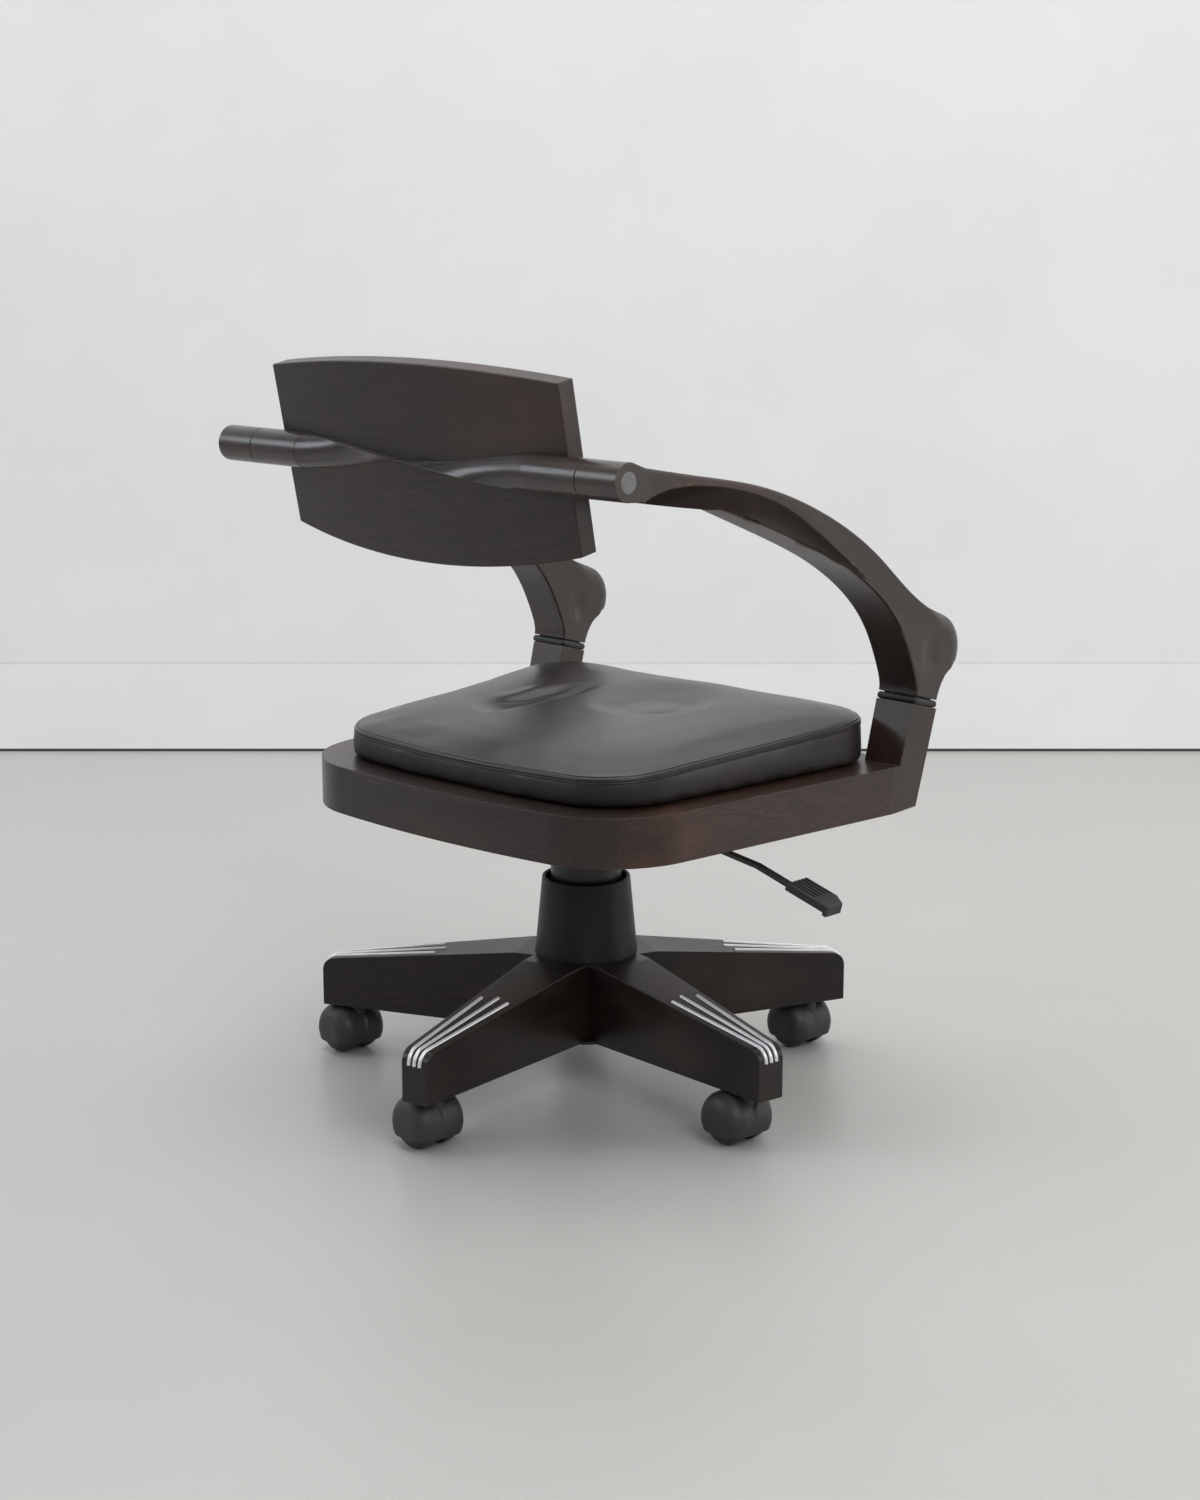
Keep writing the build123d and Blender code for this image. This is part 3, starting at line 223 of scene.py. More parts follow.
def leather(name):
    """Soft black-brown hide: small pebbles, finer wrinkles; polished on top by use, dull round the border."""
    s = Shader(name)
    plain = s.mapped((1, 1, 1))
    warp = s.noise(plain, 60.0, 2.0)
    pebble = s.voronoi(plain, 760.0, "SMOOTH_F1", 0.6)
    fine = s.voronoi(plain, 1900.0)
    tone = s.noise(plain, 14.0, 4.0)
    polish = s.noise(plain, 7.0, 3.0)
    colour = s.mix(s.range(tone, 0.35, 0.7), HIDE_DARK, HIDE_LIGHT)
    # Darker between the pebbles: painted shade in the grain's creases.
    colour = s.mix(s.range(pebble, 0.25, 0.62, 0.0, 0.55), colour, HIDE_CREASE_SHADE)
    grained = s.range(pebble, 0.2, 0.7, 0.0, 0.07)
    gloss = s.math("ADD", s.range(polish, 0.3, 0.7, 0.285, 0.335), grained)
    split = s.add("ShaderNodeSeparateXYZ")
    s.link(s.add("ShaderNodeNewGeometry").outputs["Normal"], split.inputs["Vector"])
    facing_up = split.outputs["Z"]
    gloss = s.math("ADD", gloss, s.range(facing_up, 0.15, 0.65, 0.20, 0.0))
    fine_part = s.math("MULTIPLY", fine, 0.35)
    height = s.math("ADD", s.range(pebble, 0.0, 0.7, 1.0, 0.0), fine_part)
    normal = s.bump(height, 0.00012, 0.3)
    normal = s.bump(warp, 0.0006, 0.1, normal)
    s.link(s.range(facing_up, 0.15, 0.65, 0.02, 0.3), s.principled.inputs["Coat Weight"])
    s.set(Specular_IOR_Level=0.42, Coat_Roughness=0.24)
    return s.finish(colour, gloss, normal)


def plastic(name, dark, light, rough, grain=900.0, edge=0.0008, scuff=0.25):
    """Moulded plastic or rubber with a fine spark texture, dust in it and pale scuffs on its edges."""
    s = Shader(name)
    plain = s.mapped((1, 1, 1))
    spark = s.noise(plain, grain, 3.0)
    cloud = s.noise(plain, 22.0, 4.0)
    scratch = s.noise(s.mapped((60, 420, 420), (0.3, 0.8, 0.4)), detail=3.0)
    normal, edges = s.soft_edges(edge)
    colour = s.mix(s.range(cloud, 0.3, 0.72), dark, light)
    colour = s.mix(s.range(scratch, 0.66, 0.78, 0.0, scuff), colour, scaled(light, 3.2))
    colour = s.mix(s.math("MULTIPLY", edges, scuff), colour, scaled(light, 2.6))
    gloss = s.range(cloud, 0.25, 0.75, rough - 0.05, rough + 0.08)
    normal = s.bump(spark, 0.00012, 0.3, normal)
    return s.finish(colour, gloss, normal)


def painted(name, dark, light, rough, shine=0.5):
    """Satin stove paint over steel: faint orange peel, bright metal only where an edge has rubbed."""
    s = Shader(name)
    plain = s.mapped((1, 1, 1))
    peel = s.noise(plain, 420.0, 2.0)
    cloud = s.noise(plain, 16.0, 4.0)
    rub = s.noise(plain, 90.0, 5.0)
    normal, edges = s.soft_edges(0.0007)
    colour = s.mix(s.range(cloud, 0.3, 0.7), dark, light)
    bared = s.math("MULTIPLY", edges, s.range(rub, 0.5, 0.7, 0.1, 0.7))
    colour = s.mix(bared, colour, BARE_STEEL)
    gloss = s.range(cloud, 0.3, 0.7, rough - 0.03, rough + 0.06)
    normal = s.bump(peel, 0.0001, 0.25, normal)
    s.set(Specular_IOR_Level=shine)
    return s.finish(colour, gloss, normal)


def metal(name, dark, light, rough, stretch=(500, 500, 12), brushed=0.3, metallic=1.0):
    """Bare metal with drawn or turned brush marks and a little tarnish."""
    s = Shader(name)
    brush = s.noise(s.mapped(stretch), detail=5.0, rough=0.7)
    cloud = s.noise(s.mapped((1, 1, 1)), 40.0, 4.0)
    normal, edges = s.soft_edges(0.0004)
    colour = s.mix(s.range(brush, 0.3, 0.7), dark, light)
    colour = s.mix(s.range(cloud, 0.55, 0.8, 0.0, 0.5), colour, scaled(dark, 0.6))
    colour = s.mix(s.math("MULTIPLY", edges, 0.4), colour, light)
    gloss = s.range(brush, 0.25, 0.75, rough - 0.06, rough + 0.1)
    normal = s.bump(brush, 0.00006, brushed, normal)
    s.set(Metallic=metallic)
    return s.finish(colour, gloss, normal)


def paint(material, *names):
    """Give CAD nodes their material, in place of the plain one they were packed with."""
    for name in names:
        mesh = nodes[name].data
        mesh.materials.clear()
        mesh.materials.append(material)


# Stains: the dark and light of the fibres, and the red that shows through in patches
DARK = (0.0140, 0.0088, 0.0074)
LIGHT = (0.036, 0.0210, 0.0165)
REAR_LIGHT = (0.031, 0.0205, 0.0175)
REAR_RED = (0.050, 0.0275, 0.0205)
ARM_RED = (0.052, 0.0280, 0.0205)
ROD_RED = (0.040, 0.0230, 0.0175)
PANEL_LIGHT = (0.031, 0.0190, 0.0155)
PANEL_RED = (0.046, 0.0240, 0.0175)
LEG_DARK = (0.0060, 0.0040, 0.0035)
LEG_LIGHT = (0.0170, 0.0098, 0.0074)
LEG_RED = (0.034, 0.0175, 0.0115)
RAIL_DARK = (0.0190, 0.0098, 0.0070)
RAIL_LIGHT = (0.050, 0.0240, 0.0160)
RAIL_RED = (0.085, 0.0340, 0.0195)
POST_LIGHT = (0.040, 0.0215, 0.0155)
POST_RED = (0.060, 0.0270, 0.0170)
PLY_DARK = (0.30, 0.205, 0.115)
PLY_LIGHT = (0.44, 0.32, 0.19)
PLY_RED = (0.37, 0.25, 0.14)
BRIGHT_NODES = (
    "piston_rod", "lift_cylinder", "lever_pin", "thrust_bearing", "ankle_forks", "arm_eyes",
    "caster_sleeves", "valve_button", "hub_screws", "seat_screws",
)
post_grain = (0, -math.sin(POST_LEAN), math.cos(POST_LEAN))
arm_grain = (0, 0.86, 0.51)
sideways = (1, 0, 0)
wood_rear = wood("wood_rear_rail", sideways, DARK, REAR_LIGHT, REAR_RED)
wood_side = wood("wood_side_rail", (0, 1, 0), RAIL_DARK, RAIL_LIGHT, RAIL_RED)
wood_post = wood("wood_post", post_grain, RAIL_DARK, POST_LIGHT, POST_RED, coat=0.3)
wood_arm = wood("wood_arm", arm_grain, DARK, LIGHT, ARM_RED, shine=0.5, coat=0.25)
wood_rod = wood("wood_rod", sideways, DARK, LIGHT, ROD_RED, rough=0.28, worn=0.9, shine=0.5, coat=0.35)
wood_panel = wood("wood_panel", sideways, DARK, PANEL_LIGHT, PANEL_RED, worn=0.9)
paint(wood_rear, "seat_rail_rear", "seat_rail_front")
paint(wood_side, "seat_rail_left", "seat_rail_right")
paint(wood_post, "arm_post_left", "arm_post_right")
paint(wood_arm, "arm_left", "arm_right")
paint(wood_rod, "back_rod", "arm_knuckles")
paint(wood_panel, "back_panel")
for number in casters:
    turn = math.radians(BASE_TURN + LEG_STEP * (number - 1))
    grain = (math.cos(turn), math.sin(turn), -LEG_FALL)
    leg_name = f"leg_{number}"
    paint(wood("wood_" + leg_name, grain, LEG_DARK, LEG_LIGHT, LEG_RED, shine=0.32, coat=0.15), leg_name)
paint(wood("wood_plywood", sideways, PLY_DARK, PLY_LIGHT, PLY_RED, rough=0.6, worn=0.1), "seat_panel")
metal_inlay = metal("metal_inlay", (0.74, 0.75, 0.76), (0.82, 0.82, 0.83), 0.32, (30, 30, 30), 0.05, 0.6)
paint(metal_inlay, "leg_inlays")
metal_bright = metal("metal_bright", (0.50, 0.50, 0.51), (0.66, 0.66, 0.67), 0.3)
paint(metal_bright, *BRIGHT_NODES, *[f"caster_{n}_pins" for n in casters])
paint(metal("metal_pivot", (0.17, 0.17, 0.175), (0.23, 0.23, 0.235), 0.48, (90, 90, 90)), "pivot_hardware")
paint_column = painted("paint_column", (0.0050, 0.0050, 0.0053), (0.0085, 0.0085, 0.0088), 0.42, 0.3)
paint(paint_column, "column_cone", "hub_socket", "lift_tube")
paint_sleeve = painted("paint_sleeve", (0.0105, 0.0105, 0.011), (0.0165, 0.0165, 0.017), 0.36, 0.45)
paint(paint_sleeve, "column_sleeve", "seat_mechanism", "lever_bar")
paint(plastic("plastic_bush", (0.55, 0.54, 0.50), (0.66, 0.65, 0.61), 0.5), "guide_bush", "back_bushes")
paint(plastic("plastic_paddle", (0.016, 0.016, 0.017), (0.026, 0.026, 0.028), 0.5), "lever_paddle")
rubber = plastic("rubber_bead", (0.012, 0.012, 0.0125), (0.02, 0.02, 0.021), 0.46, scuff=0.12)
paint(rubber, "ankle_beads")
hood = plastic("plastic_hood", (0.019, 0.019, 0.0195), (0.032, 0.032, 0.033), 0.50)
paint(hood, *[f"caster_{n}_hood" for n in casters])
wheel = plastic("plastic_wheel", (0.014, 0.014, 0.0145), (0.024, 0.024, 0.025), 0.46, scuff=0.4)
paint(wheel, *[f"caster_{n}_wheel_{s}" for n in casters for s in ("left", "right")])


# Mesh helpers


def mesh_object(name, points, faces):
    mesh = bpy.data.meshes.new(name)
    mesh.from_pydata([tuple(p) for p in points], [], faces)
    mesh.update()
    made = bpy.data.objects.new(name, mesh)
    scene.collection.objects.link(made)
    return made


def ring_faces(start_a, start_b, count):
    following = [(i + 1) % count for i in range(count)]
    return [(start_a + i, start_a + j, start_b + j, start_b + i) for i, j in enumerate(following)]


def coordinates(mesh):
    co = np.empty(len(mesh.vertices) * 3)
    mesh.vertices.foreach_get("co", co)
    return co.reshape(-1, 3)


def put(mesh, co):
    mesh.vertices.foreach_set("co", co.astype(np.float32).ravel())
    mesh.update()


def shade_smooth(mesh):
    mesh.polygons.foreach_set("use_smooth", [True] * len(mesh.polygons))


def apply_modifiers(obj):
    made = bpy.data.meshes.new_from_object(obj.evaluated_get(bpy.context.evaluated_depsgraph_get()))
    obj.modifiers.clear()
    obj.data = made


def ease(share):
    share = np.clip(share, 0, 1)
    return share * share * (3 - 2 * share)


def path_distance(points, path):
    """For points in a plane: distance to a path, which side of it, and the share of it gone by."""
    path = np.array(path)
    lengths = np.linalg.norm(np.diff(path, axis=0), axis=1)
    best = np.full(len(points), 1e9)
    side = np.zeros(len(points))
    share = np.zeros(len(points))
    done = 0.0
    for a, b, length in zip(path[:-1], path[1:], lengths):
        run = (b - a) / length
        gone = np.clip((points - a) @ run, 0, length)
        off = points - (a + gone[:, None] * run)
        distance = np.linalg.norm(off, axis=1)
        nearer = distance < best
        best = np.where(nearer, distance, best)
        side = np.where(nearer, run[0] * off[:, 1] - run[1] * off[:, 0], side)
        share = np.where(nearer, (done + gone) / lengths.sum(), share)
        done += length
    return best, np.sign(side), share


# Arms: the knee is carved round like a knob, with a shallow dish behind it

# Spacing of the cuts, and the part of the arm, in Y and Z, that is cut
KNEE_CUT = 0.0025
KNEE_BOX = np.array([[-0.286, -0.176], [0.424, 0.536]])
# How far the rounding reaches over the front and over the sides
KNEE_WIDTH = 0.019
KNEE_CORNER = 0.0105
# How far the front comes out, and how deep that reaches
KNEE_SWELL = 0.0048
KNEE_SWELL_REACH = 0.030
# Lengths above and below the knee's arc over which the rounding fades
KNEE_TOP_RUN = 0.046
KNEE_FOOT_RUN = 0.024
KNEE_STEP = 0.001
KNEE_INSIDE = KNEE + (0.02, 0.0)
DISH = np.array([-0.2265, 0.468])
DISH_REACH = np.array([0.0120, 0.0200])
DISH_DEPTH = 0.0028
DISH_SKIN = 0.006
# A face belongs to the facet if it faces outward by this much, not upward, and lies inside the arm's side
FACET_OUTWARD = 0.3
FACET_UPWARD = 0.28
FACET_INSIDE = 0.0002
SHARP_ANGLE = math.radians(32)


def cut_fine(mesh):
    """Cut the knee's faces by planes in three directions, so that there are points to move."""
    bm = bmesh.new()
    bm.from_mesh(mesh)
    bmesh.ops.remove_doubles(bm, verts=bm.verts, dist=1e-6)
    sides = np.sort([v.co.x for v in bm.verts])[[0, -1]]
    spans = (sides, KNEE_BOX[0], KNEE_BOX[1])
    near = [f for f in bm.faces if reaches_knee(f)]
    lines = {e for f in near for e in f.edges}
    ends = {v for f in near for v in f.verts}
    pieces = [*near, *lines, *ends]
    for axis, (low, high) in enumerate(spans):
        way = [float(k == axis) for k in range(3)]
        for place in np.arange(low + KNEE_CUT, high, KNEE_CUT):
            spot = [place * part for part in way]
            cut = bmesh.ops.bisect_plane(bm, geom=pieces, dist=1e-7, plane_co=spot, plane_no=way)
            pieces = cut["geom"]
    bmesh.ops.triangulate(bm, faces=[f for f in bm.faces if len(f.verts) > 4])
    made = bpy.data.meshes.new(mesh.name + "_carved")
    bm.to_mesh(made)
    bm.free()
    return made


def reaches_knee(face):
    corners = np.array([v.co[1:] for v in face.verts])
    lows, highs = corners.min(axis=0), corners.max(axis=0)
    return bool(np.all(lows <= KNEE_BOX[:, 1]) and np.all(highs >= KNEE_BOX[:, 0]))


def knee_profile():
    """The arm's front outline seen from the side, and how fully each part of it is rounded."""
    angles = np.radians(np.linspace(*KNEE_SECTOR, 60))
    arc = KNEE + KNEE_RADIUS * np.column_stack([np.cos(angles), np.sin(angles)])
    first, last = angles[0], angles[-1]
    above = np.linspace(KNEE_TOP_RUN, KNEE_STEP, 46)
    below = np.linspace(KNEE_STEP, KNEE_FOOT_RUN, 24)
    top = arc[0] + above[:, None] * np.array([math.sin(first), -math.cos(first)])
    foot = arc[-1] + below[:, None] * np.array([-math.sin(last), math.cos(last)])
    round_top = ease(1 - above / KNEE_TOP_RUN)
    round_foot = ease(1 - below / KNEE_FOOT_RUN)
    return np.vstack([top, arc, foot]), np.concatenate([round_top, np.ones(len(arc)), round_foot])


def carve_knee(co):
    """Move the points of one arm: bring its front out, round the edges, press the dish into both sides."""
    outline, fullness = knee_profile()
    centred = np.abs(co[:, 0]) - ARM_MIDDLE
    away = np.sign(centred) * np.sign(co[:, 0])
    depth_x = ARM_HALF - np.abs(centred)
    gaps = np.linalg.norm(co[:, None, 1:] - outline[None], axis=2)
    nearest = gaps.argmin(axis=1)
    runs = np.gradient(outline, axis=0)
    inward = np.column_stack([-runs[:, 1], runs[:, 0]])
    inward /= np.linalg.norm(inward, axis=1)[:, None]
    toward = ((KNEE_INSIDE - outline) * inward).sum(axis=1, keepdims=True)
    inward *= np.sign(toward)
    into = inward[nearest]
    depth_s = ((co[:, 1:] - outline[nearest]) * into).sum(axis=1)
    full = fullness[nearest]
    wide = np.maximum(KNEE_WIDTH * full, 1e-6)
    narrow = np.maximum(KNEE_CORNER * full, 1e-6)
    on_front = np.clip(1 - depth_s / wide, 0, 1)
    on_side = np.clip(1 - depth_x / narrow, 0, 1)
    quarter = math.pi / 4
    by_side = on_side >= on_front
    step_x = np.where(by_side, 1 - np.cos(on_front * quarter), on_side - np.sin(on_side * quarter))
    step_s = np.where(by_side, on_front - np.sin(on_front * quarter), 1 - np.cos(on_side * quarter))
    swell = KNEE_SWELL * full * ease(1 - depth_s / KNEE_SWELL_REACH)
    moved = co.copy()
    moved[:, 0] -= away * narrow * step_x
    moved[:, 1:] += into * (wide * step_s - swell)[:, None]
    pressed = np.exp(-(((co[:, 1:] - DISH) / DISH_REACH) ** 2).sum(axis=1))
    moved[:, 0] -= away * DISH_DEPTH * pressed * ease(1 - depth_x / DISH_SKIN)
    return moved


def mark_facet_painted_shade(mesh):
    """Mark the faces of the facet cut under the arm's outer side; painted shade makes them darker there, and
    they are dull.
    """
    marks = mesh.attributes.new("facet", "FLOAT", "FACE")
    for face, mark in zip(mesh.polygons, marks.data):
        outward = math.copysign(1.0, face.center.x) * face.normal.x
        behind = abs(face.center.x) < ARM_MIDDLE + ARM_HALF - FACET_INSIDE
        level = face.normal.z < FACET_UPWARD
        clear = face.center.y > KNEE_BOX[0, 1]
        mark.value = float(outward > FACET_OUTWARD and behind and level and clear)


for name in ("arm_left", "arm_right"):
    carved = cut_fine(nodes[name].data)
    arm = bpy.data.objects.new(name + "_carved", carved)
    scene.collection.objects.link(arm)
    spots = coordinates(carved)
    inside = np.all((spots[:, 1:] > KNEE_BOX[:, 0]) & (spots[:, 1:] < KNEE_BOX[:, 1]), axis=1)
    spots[inside] = carve_knee(spots[inside])
    put(carved, spots)
    mark_facet_painted_shade(carved)
    shade_smooth(carved)
    carved.set_sharp_from_angle(angle=SHARP_ANGLE)
    weighted = arm.modifiers.new("weighted", "WEIGHTED_NORMAL")
    weighted.keep_sharp = True
    apply_modifiers(arm)
    arm.data.materials.clear()
    arm.data.materials.append(wood_arm)
    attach(arm, "arm_frame")
    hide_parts(name)


# Cushion

SWELL_CAP = 0.0042
# The filled cushion is squarer at its corners than the plain one of the model
CUSHION_REAR_CORNER = 0.056
CUSHION_FRONT_CORNER = 0.052
LEAST_CORNER = 0.02
POST_INNER = 0.2284
POST_SETBACK = 0.1840
# Heights over the frame: the cover's foot, the part of it that is held, and the least that is left
FOOT_LIFT = 0.0006
HELD_HEIGHT = 0.004
LEAST_LIFT = 0.0003
SEAM_ALLOWANCE = 0.0010
# Dents begin this far above the seam and reach their depth over the next stretch
DENT_START = 0.002
DENT_BLEND = 0.008
VOXEL = 0.0045
SIM_FRAMES = 20
RING_COUNT = 260
# Levels of the uninflated cover: further inset, share of the border, rise above the seam
LEVELS = [
    (-0.0045, 0.0, 0.0),
    (-0.0055, 0.1, 0.0),
    (-0.0060, 0.45, 0.0),
    (-0.0055, 0.8, 0.0),
    (-0.0040, 1.0, 0.0),
    (0.0005, 1.0, 0.0030),
    (0.012, 1.0, 0.0062),
    (0.034, 1.0, 0.0095),
    (0.070, 1.0, 0.0125),
    (0.112, 1.0, 0.0140),
]


def corner_arc(before, here, after, radius):
    """Points of the arc that rounds one corner of an outline."""
    a = (before - here) / np.linalg.norm(before - here)
    b = (after - here) / np.linalg.norm(after - here)
    half = math.acos(float(np.clip(a @ b, -1, 1))) / 2
    reach = radius / math.tan(half)
    centre = here + (a + b) / np.linalg.norm(a + b) * radius / math.sin(half)
    start = here + a * reach - centre
    end = here + b * reach - centre
    sweep = math.pi - 2 * half
    shares = np.linspace(0, 1, 24)[:, None]
    return centre + (start * np.sin((1 - shares) * sweep) + end * np.sin(shares * sweep)) / math.sin(sweep)


def even(line, count):
    """A closed line again, as count evenly spaced points."""
    closed = np.vstack([line, line[:1]])
    gone = np.concatenate([[0], np.cumsum(np.linalg.norm(np.diff(closed, axis=0), axis=1))])
    places = np.linspace(0, gone[-1], count, endpoint=False)
    return np.column_stack([np.interp(places, gone, closed[:, k]) for k in range(line.shape[1])])


def cushion_outline(further, count):
    """The cushion's plan, drawn in by further from its foot, its rear edge bowed out."""
    inset = CUSHION_INSET + further
    draw = inset / math.cos(SEAT_FLARE)
    rear = SEAT_REAR - inset
    front = max(further, 0.0) - CUSHION_FRONT
    rear_x = SEAT_HALF + (SEAT_REAR - rear) * math.tan(SEAT_FLARE) - draw
    front_x = SEAT_HALF + (SEAT_REAR - front) * math.tan(SEAT_FLARE) - draw
    rear_r = max(CUSHION_REAR_CORNER - further, LEAST_CORNER)
    front_r = max(CUSHION_FRONT_CORNER - further, LEAST_CORNER)
    corners = np.array([(rear_x, rear), (-rear_x, rear), (-front_x, front), (front_x, front)])
    radii = (rear_r, rear_r, front_r, front_r)
    arcs = []
    for k, radius in enumerate(radii):
        arcs.append(corner_arc(corners[k - 1], corners[k], corners[(k + 1) % 4], radius))
    line = even(np.vstack(arcs), count)
    lift = np.clip((line[:, 1] - (rear - rear_r)) / rear_r, 0, 1)
    line[:, 1] += SEAT_BOW * lift * np.clip(1 - (line[:, 0] / rear_x) ** 2, 0, 1)
    return line


def seam_height(y):
    return FRAME_TOP + CUSHION_BORDER - y * CUSHION_TILT


def post_rear(z):
    """The plane just behind the leaning posts, which the cushion's front corners press against."""
    return -POST_SETBACK - (z - FRAME_TOP) * math.tan(POST_LEAN)


def cushion_cover():
    """The cover before it is filled: rings from the foot up over the border and the crown."""
    foot = FRAME_TOP + FOOT_LIFT
    rings = []
    faces = []
    for further, share, rise in LEVELS:
        line = cushion_outline(further, RING_COUNT)
        z = foot + share * (seam_height(line[:, 1]) - SEAM_ALLOWANCE - foot) + rise
        rings.append(np.column_stack([line, z]))
    last = len(rings) - 1
    for index in range(last):
        faces += ring_faces(index * RING_COUNT, (index + 1) * RING_COUNT, RING_COUNT)
    faces.append(tuple(reversed(range(RING_COUNT))))
    faces.append(tuple(range(last * RING_COUNT, (last + 1) * RING_COUNT)))
    return mesh_object("seat_cushion_cover", np.vstack(rings), faces)


def relax(mesh, co, rounds):
    """Even out small wrinkles by drawing every point toward the middle of its neighbours."""
    ends = np.empty(len(mesh.edges) * 2, dtype=np.int64)
    mesh.edges.foreach_get("vertices", ends)
    a, b = ends[0::2], ends[1::2]
    degree = np.bincount(ends, minlength=len(co))[:, None]
    for _ in range(rounds):
        total = np.zeros_like(co)
        np.add.at(total, a, co[b])
        np.add.at(total, b, co[a])
        co = co * 0.5 + total / degree * 0.5
    return co


def fill_cushion(cover):
    """Blow the cover up as cloth from inside, its foot held, and cap how far it may swell."""
    start = coordinates(cover.data)
    hold = cover.vertex_groups.new(name="hold")
    low = np.where(start[:, 2] < FRAME_TOP + HELD_HEIGHT)[0]
    hold.add([int(i) for i in low], 1.0, "REPLACE")
    cloth = cover.modifiers.new("cloth", "CLOTH")
    cloth.settings.quality = 6
    cloth.settings.mass = 0.3
    cloth.settings.tension_stiffness = 60
    cloth.settings.compression_stiffness = 60
    cloth.settings.shear_stiffness = 30
    cloth.settings.bending_stiffness = 6
    cloth.settings.use_pressure = True
    cloth.settings.uniform_pressure_force = 4.0
    cloth.settings.vertex_group_mass = "hold"
    cloth.settings.effector_weights.gravity = 0.0
    cloth.collision_settings.use_collision = False
    for step in range(1, SIM_FRAMES + 1):
        scene.frame_set(step)
    apply_modifiers(cover)
    shift = relax(cover.data, coordinates(cover.data) - start, 30)
    far = np.linalg.norm(shift, axis=1)
    shift *= (SWELL_CAP * np.tanh(far / SWELL_CAP) / np.maximum(far, 1e-9))[:, None]
    put(cover.data, start + shift)
    scene.frame_set(1)


def hollow(co, x, y, reach_x, reach_y, depth):
    """Soft round hollow in the top."""
    u = (co[:, 0] - x) / reach_x
    v = (co[:, 1] - y) / reach_y
    return -depth * np.exp(-(u * u + v * v))


def fold(co, path, width, depth, lip):
    """Narrow fold along a path, with a raised lip on its left."""
    distance, side, share = path_distance(co[:, :2], path)
    fade = np.sin(np.clip(share, 0.02, 0.98) * math.pi) ** 0.7
    dip = depth * np.exp(-((distance / width) ** 2))
    rise = lip * np.exp(-(((distance * side - 2.2 * width) / (1.6 * width)) ** 2))
    return (rise - dip) * fade


def dent(co, path, wall, reach, depth):
    """Sunken place left of a path: a steep wall along the path, then a slow rise beyond."""
    distance, side, share = path_distance(co[:, :2], path)
    beyond = np.clip(distance * side, 0, None)
    fade = ease(share / 0.3) * ease((1 - share) / 0.3)
    return -depth * ease(beyond / wall) * np.exp(-((beyond / reach) ** 2)) * fade


def bowl(co, centre, heading, reaches, depth):
    """Oval bowl: reaches before it, behind it and to its sides; its wall is steep before it."""
    off = co[:, :2] - centre
    before = off @ heading
    aside = off @ np.array([-heading[1], heading[0]])
    front, rear, wide = reaches
    ahead = ease(before / (0.6 * front) + 0.5)
    length = rear + (front - rear) * ahead
    radius = np.sqrt((before / length) ** 2 + (aside / wide) ** 2)
    wall = 0.95 - 0.40 * ahead
    return -depth * ease((1 - radius) / wall)


def sat_in(co):
    """How the top has settled with use: two dents, a fold beside the first, soft swells round them."""
    left_wall = [(0.064, 0.090), (0.055, 0.052), (0.049, 0.018), (0.046, -0.020), (0.046, -0.080)]
    small_fold = [(0.100, 0.030), (0.090, 0.0), (0.090, -0.030), (0.082, -0.060)]
    inner_fold = [(-0.055, -0.018), (-0.080, -0.034), (-0.090, -0.066)]
    press = dent(co, left_wall, 0.014, 0.056, 0.0090)
    press += bowl(co, (-0.035, -0.065), np.array([-0.68, 0.73]), (0.082, 0.095, 0.078), 0.0058)
    press += fold(co, small_fold, 0.007, 0.0020, 0.0016)
    press += fold(co, inner_fold, 0.009, 0.0016, 0.0012)
    press += hollow(co, 0.0, 0.02, 0.17, 0.15, 0.0020)
    press -= hollow(co, -0.030, -0.150, 0.07, 0.035, 0.0030)
    return press


cushion = cushion_cover()
remesh = cushion.modifiers.new("remesh", "REMESH")
remesh.mode = "VOXEL"
remesh.voxel_size = VOXEL
apply_modifiers(cushion)
put(cushion.data, relax(cushion.data, coordinates(cushion.data), 2))
fill_cushion(cushion)
subdivide = cushion.modifiers.new("subdivide", "SUBSURF")
subdivide.levels = 1
subdivide.render_levels = 1
apply_modifiers(cushion)
co = coordinates(cushion.data)
co[:, 2] += sat_in(co) * ease((co[:, 2] - seam_height(co[:, 1]) - DENT_START) / DENT_BLEND)
co[:, 2] = np.maximum(co[:, 2], FRAME_TOP + LEAST_LIFT)
by_post = np.abs(co[:, 0]) > POST_INNER
co[by_post, 1] = np.maximum(co[by_post, 1], post_rear(co[by_post, 2]))
put(cushion.data, co)
shade_smooth(cushion.data)
hide = leather("leather_cushion")
cushion.data.materials.append(hide)
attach(cushion, "seat")
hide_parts("seat_cushion")


# Sewn seam: a flat raised band round the cover's shoulder, stitched along both its edges

SEAM_POINTS = 1120
SEAM_LEVEL = -0.0030
# The seam is looked for from outside the cover inward, and then evened out over so many points each way
SEEK_FROM = -0.02
SEEK_TO = 0.012
SEAM_EVENED = 9
FACING_EVENED = 14
MILLIMETRE = 0.001
# Across the band and out from the cover, in millimetres
BAND_PROFILE = [
    (-4.9, -0.9), (-4.2, 0.2), (-3.5, 0.7), (-2.8, -0.4), (-2.1, 1.1), (-1.2, 1.65), (0.0, 1.85),
    (1.2, 1.65), (2.1, 1.1), (2.8, -0.4), (3.5, 0.7), (4.2, 0.2), (4.9, -0.9),
]
STITCH_PITCH = 0.0046
STITCH_ROWS = (-0.0027, 0.0027)
STITCH_RADIUS = 0.0004
STITCH_SIDES = 6
STITCH_RISE = 0.0006
STITCH_SINK = 0.0003
STITCH_SHARES = (-0.36, -0.26, 0.0, 0.26, 0.36)


def unit(values):
    return values / np.linalg.norm(values, axis=1)[:, None]


def smooth_loop(values, width):
    return sum(np.roll(values, k, axis=0) for k in range(-width, width + 1)) / (2 * width + 1)


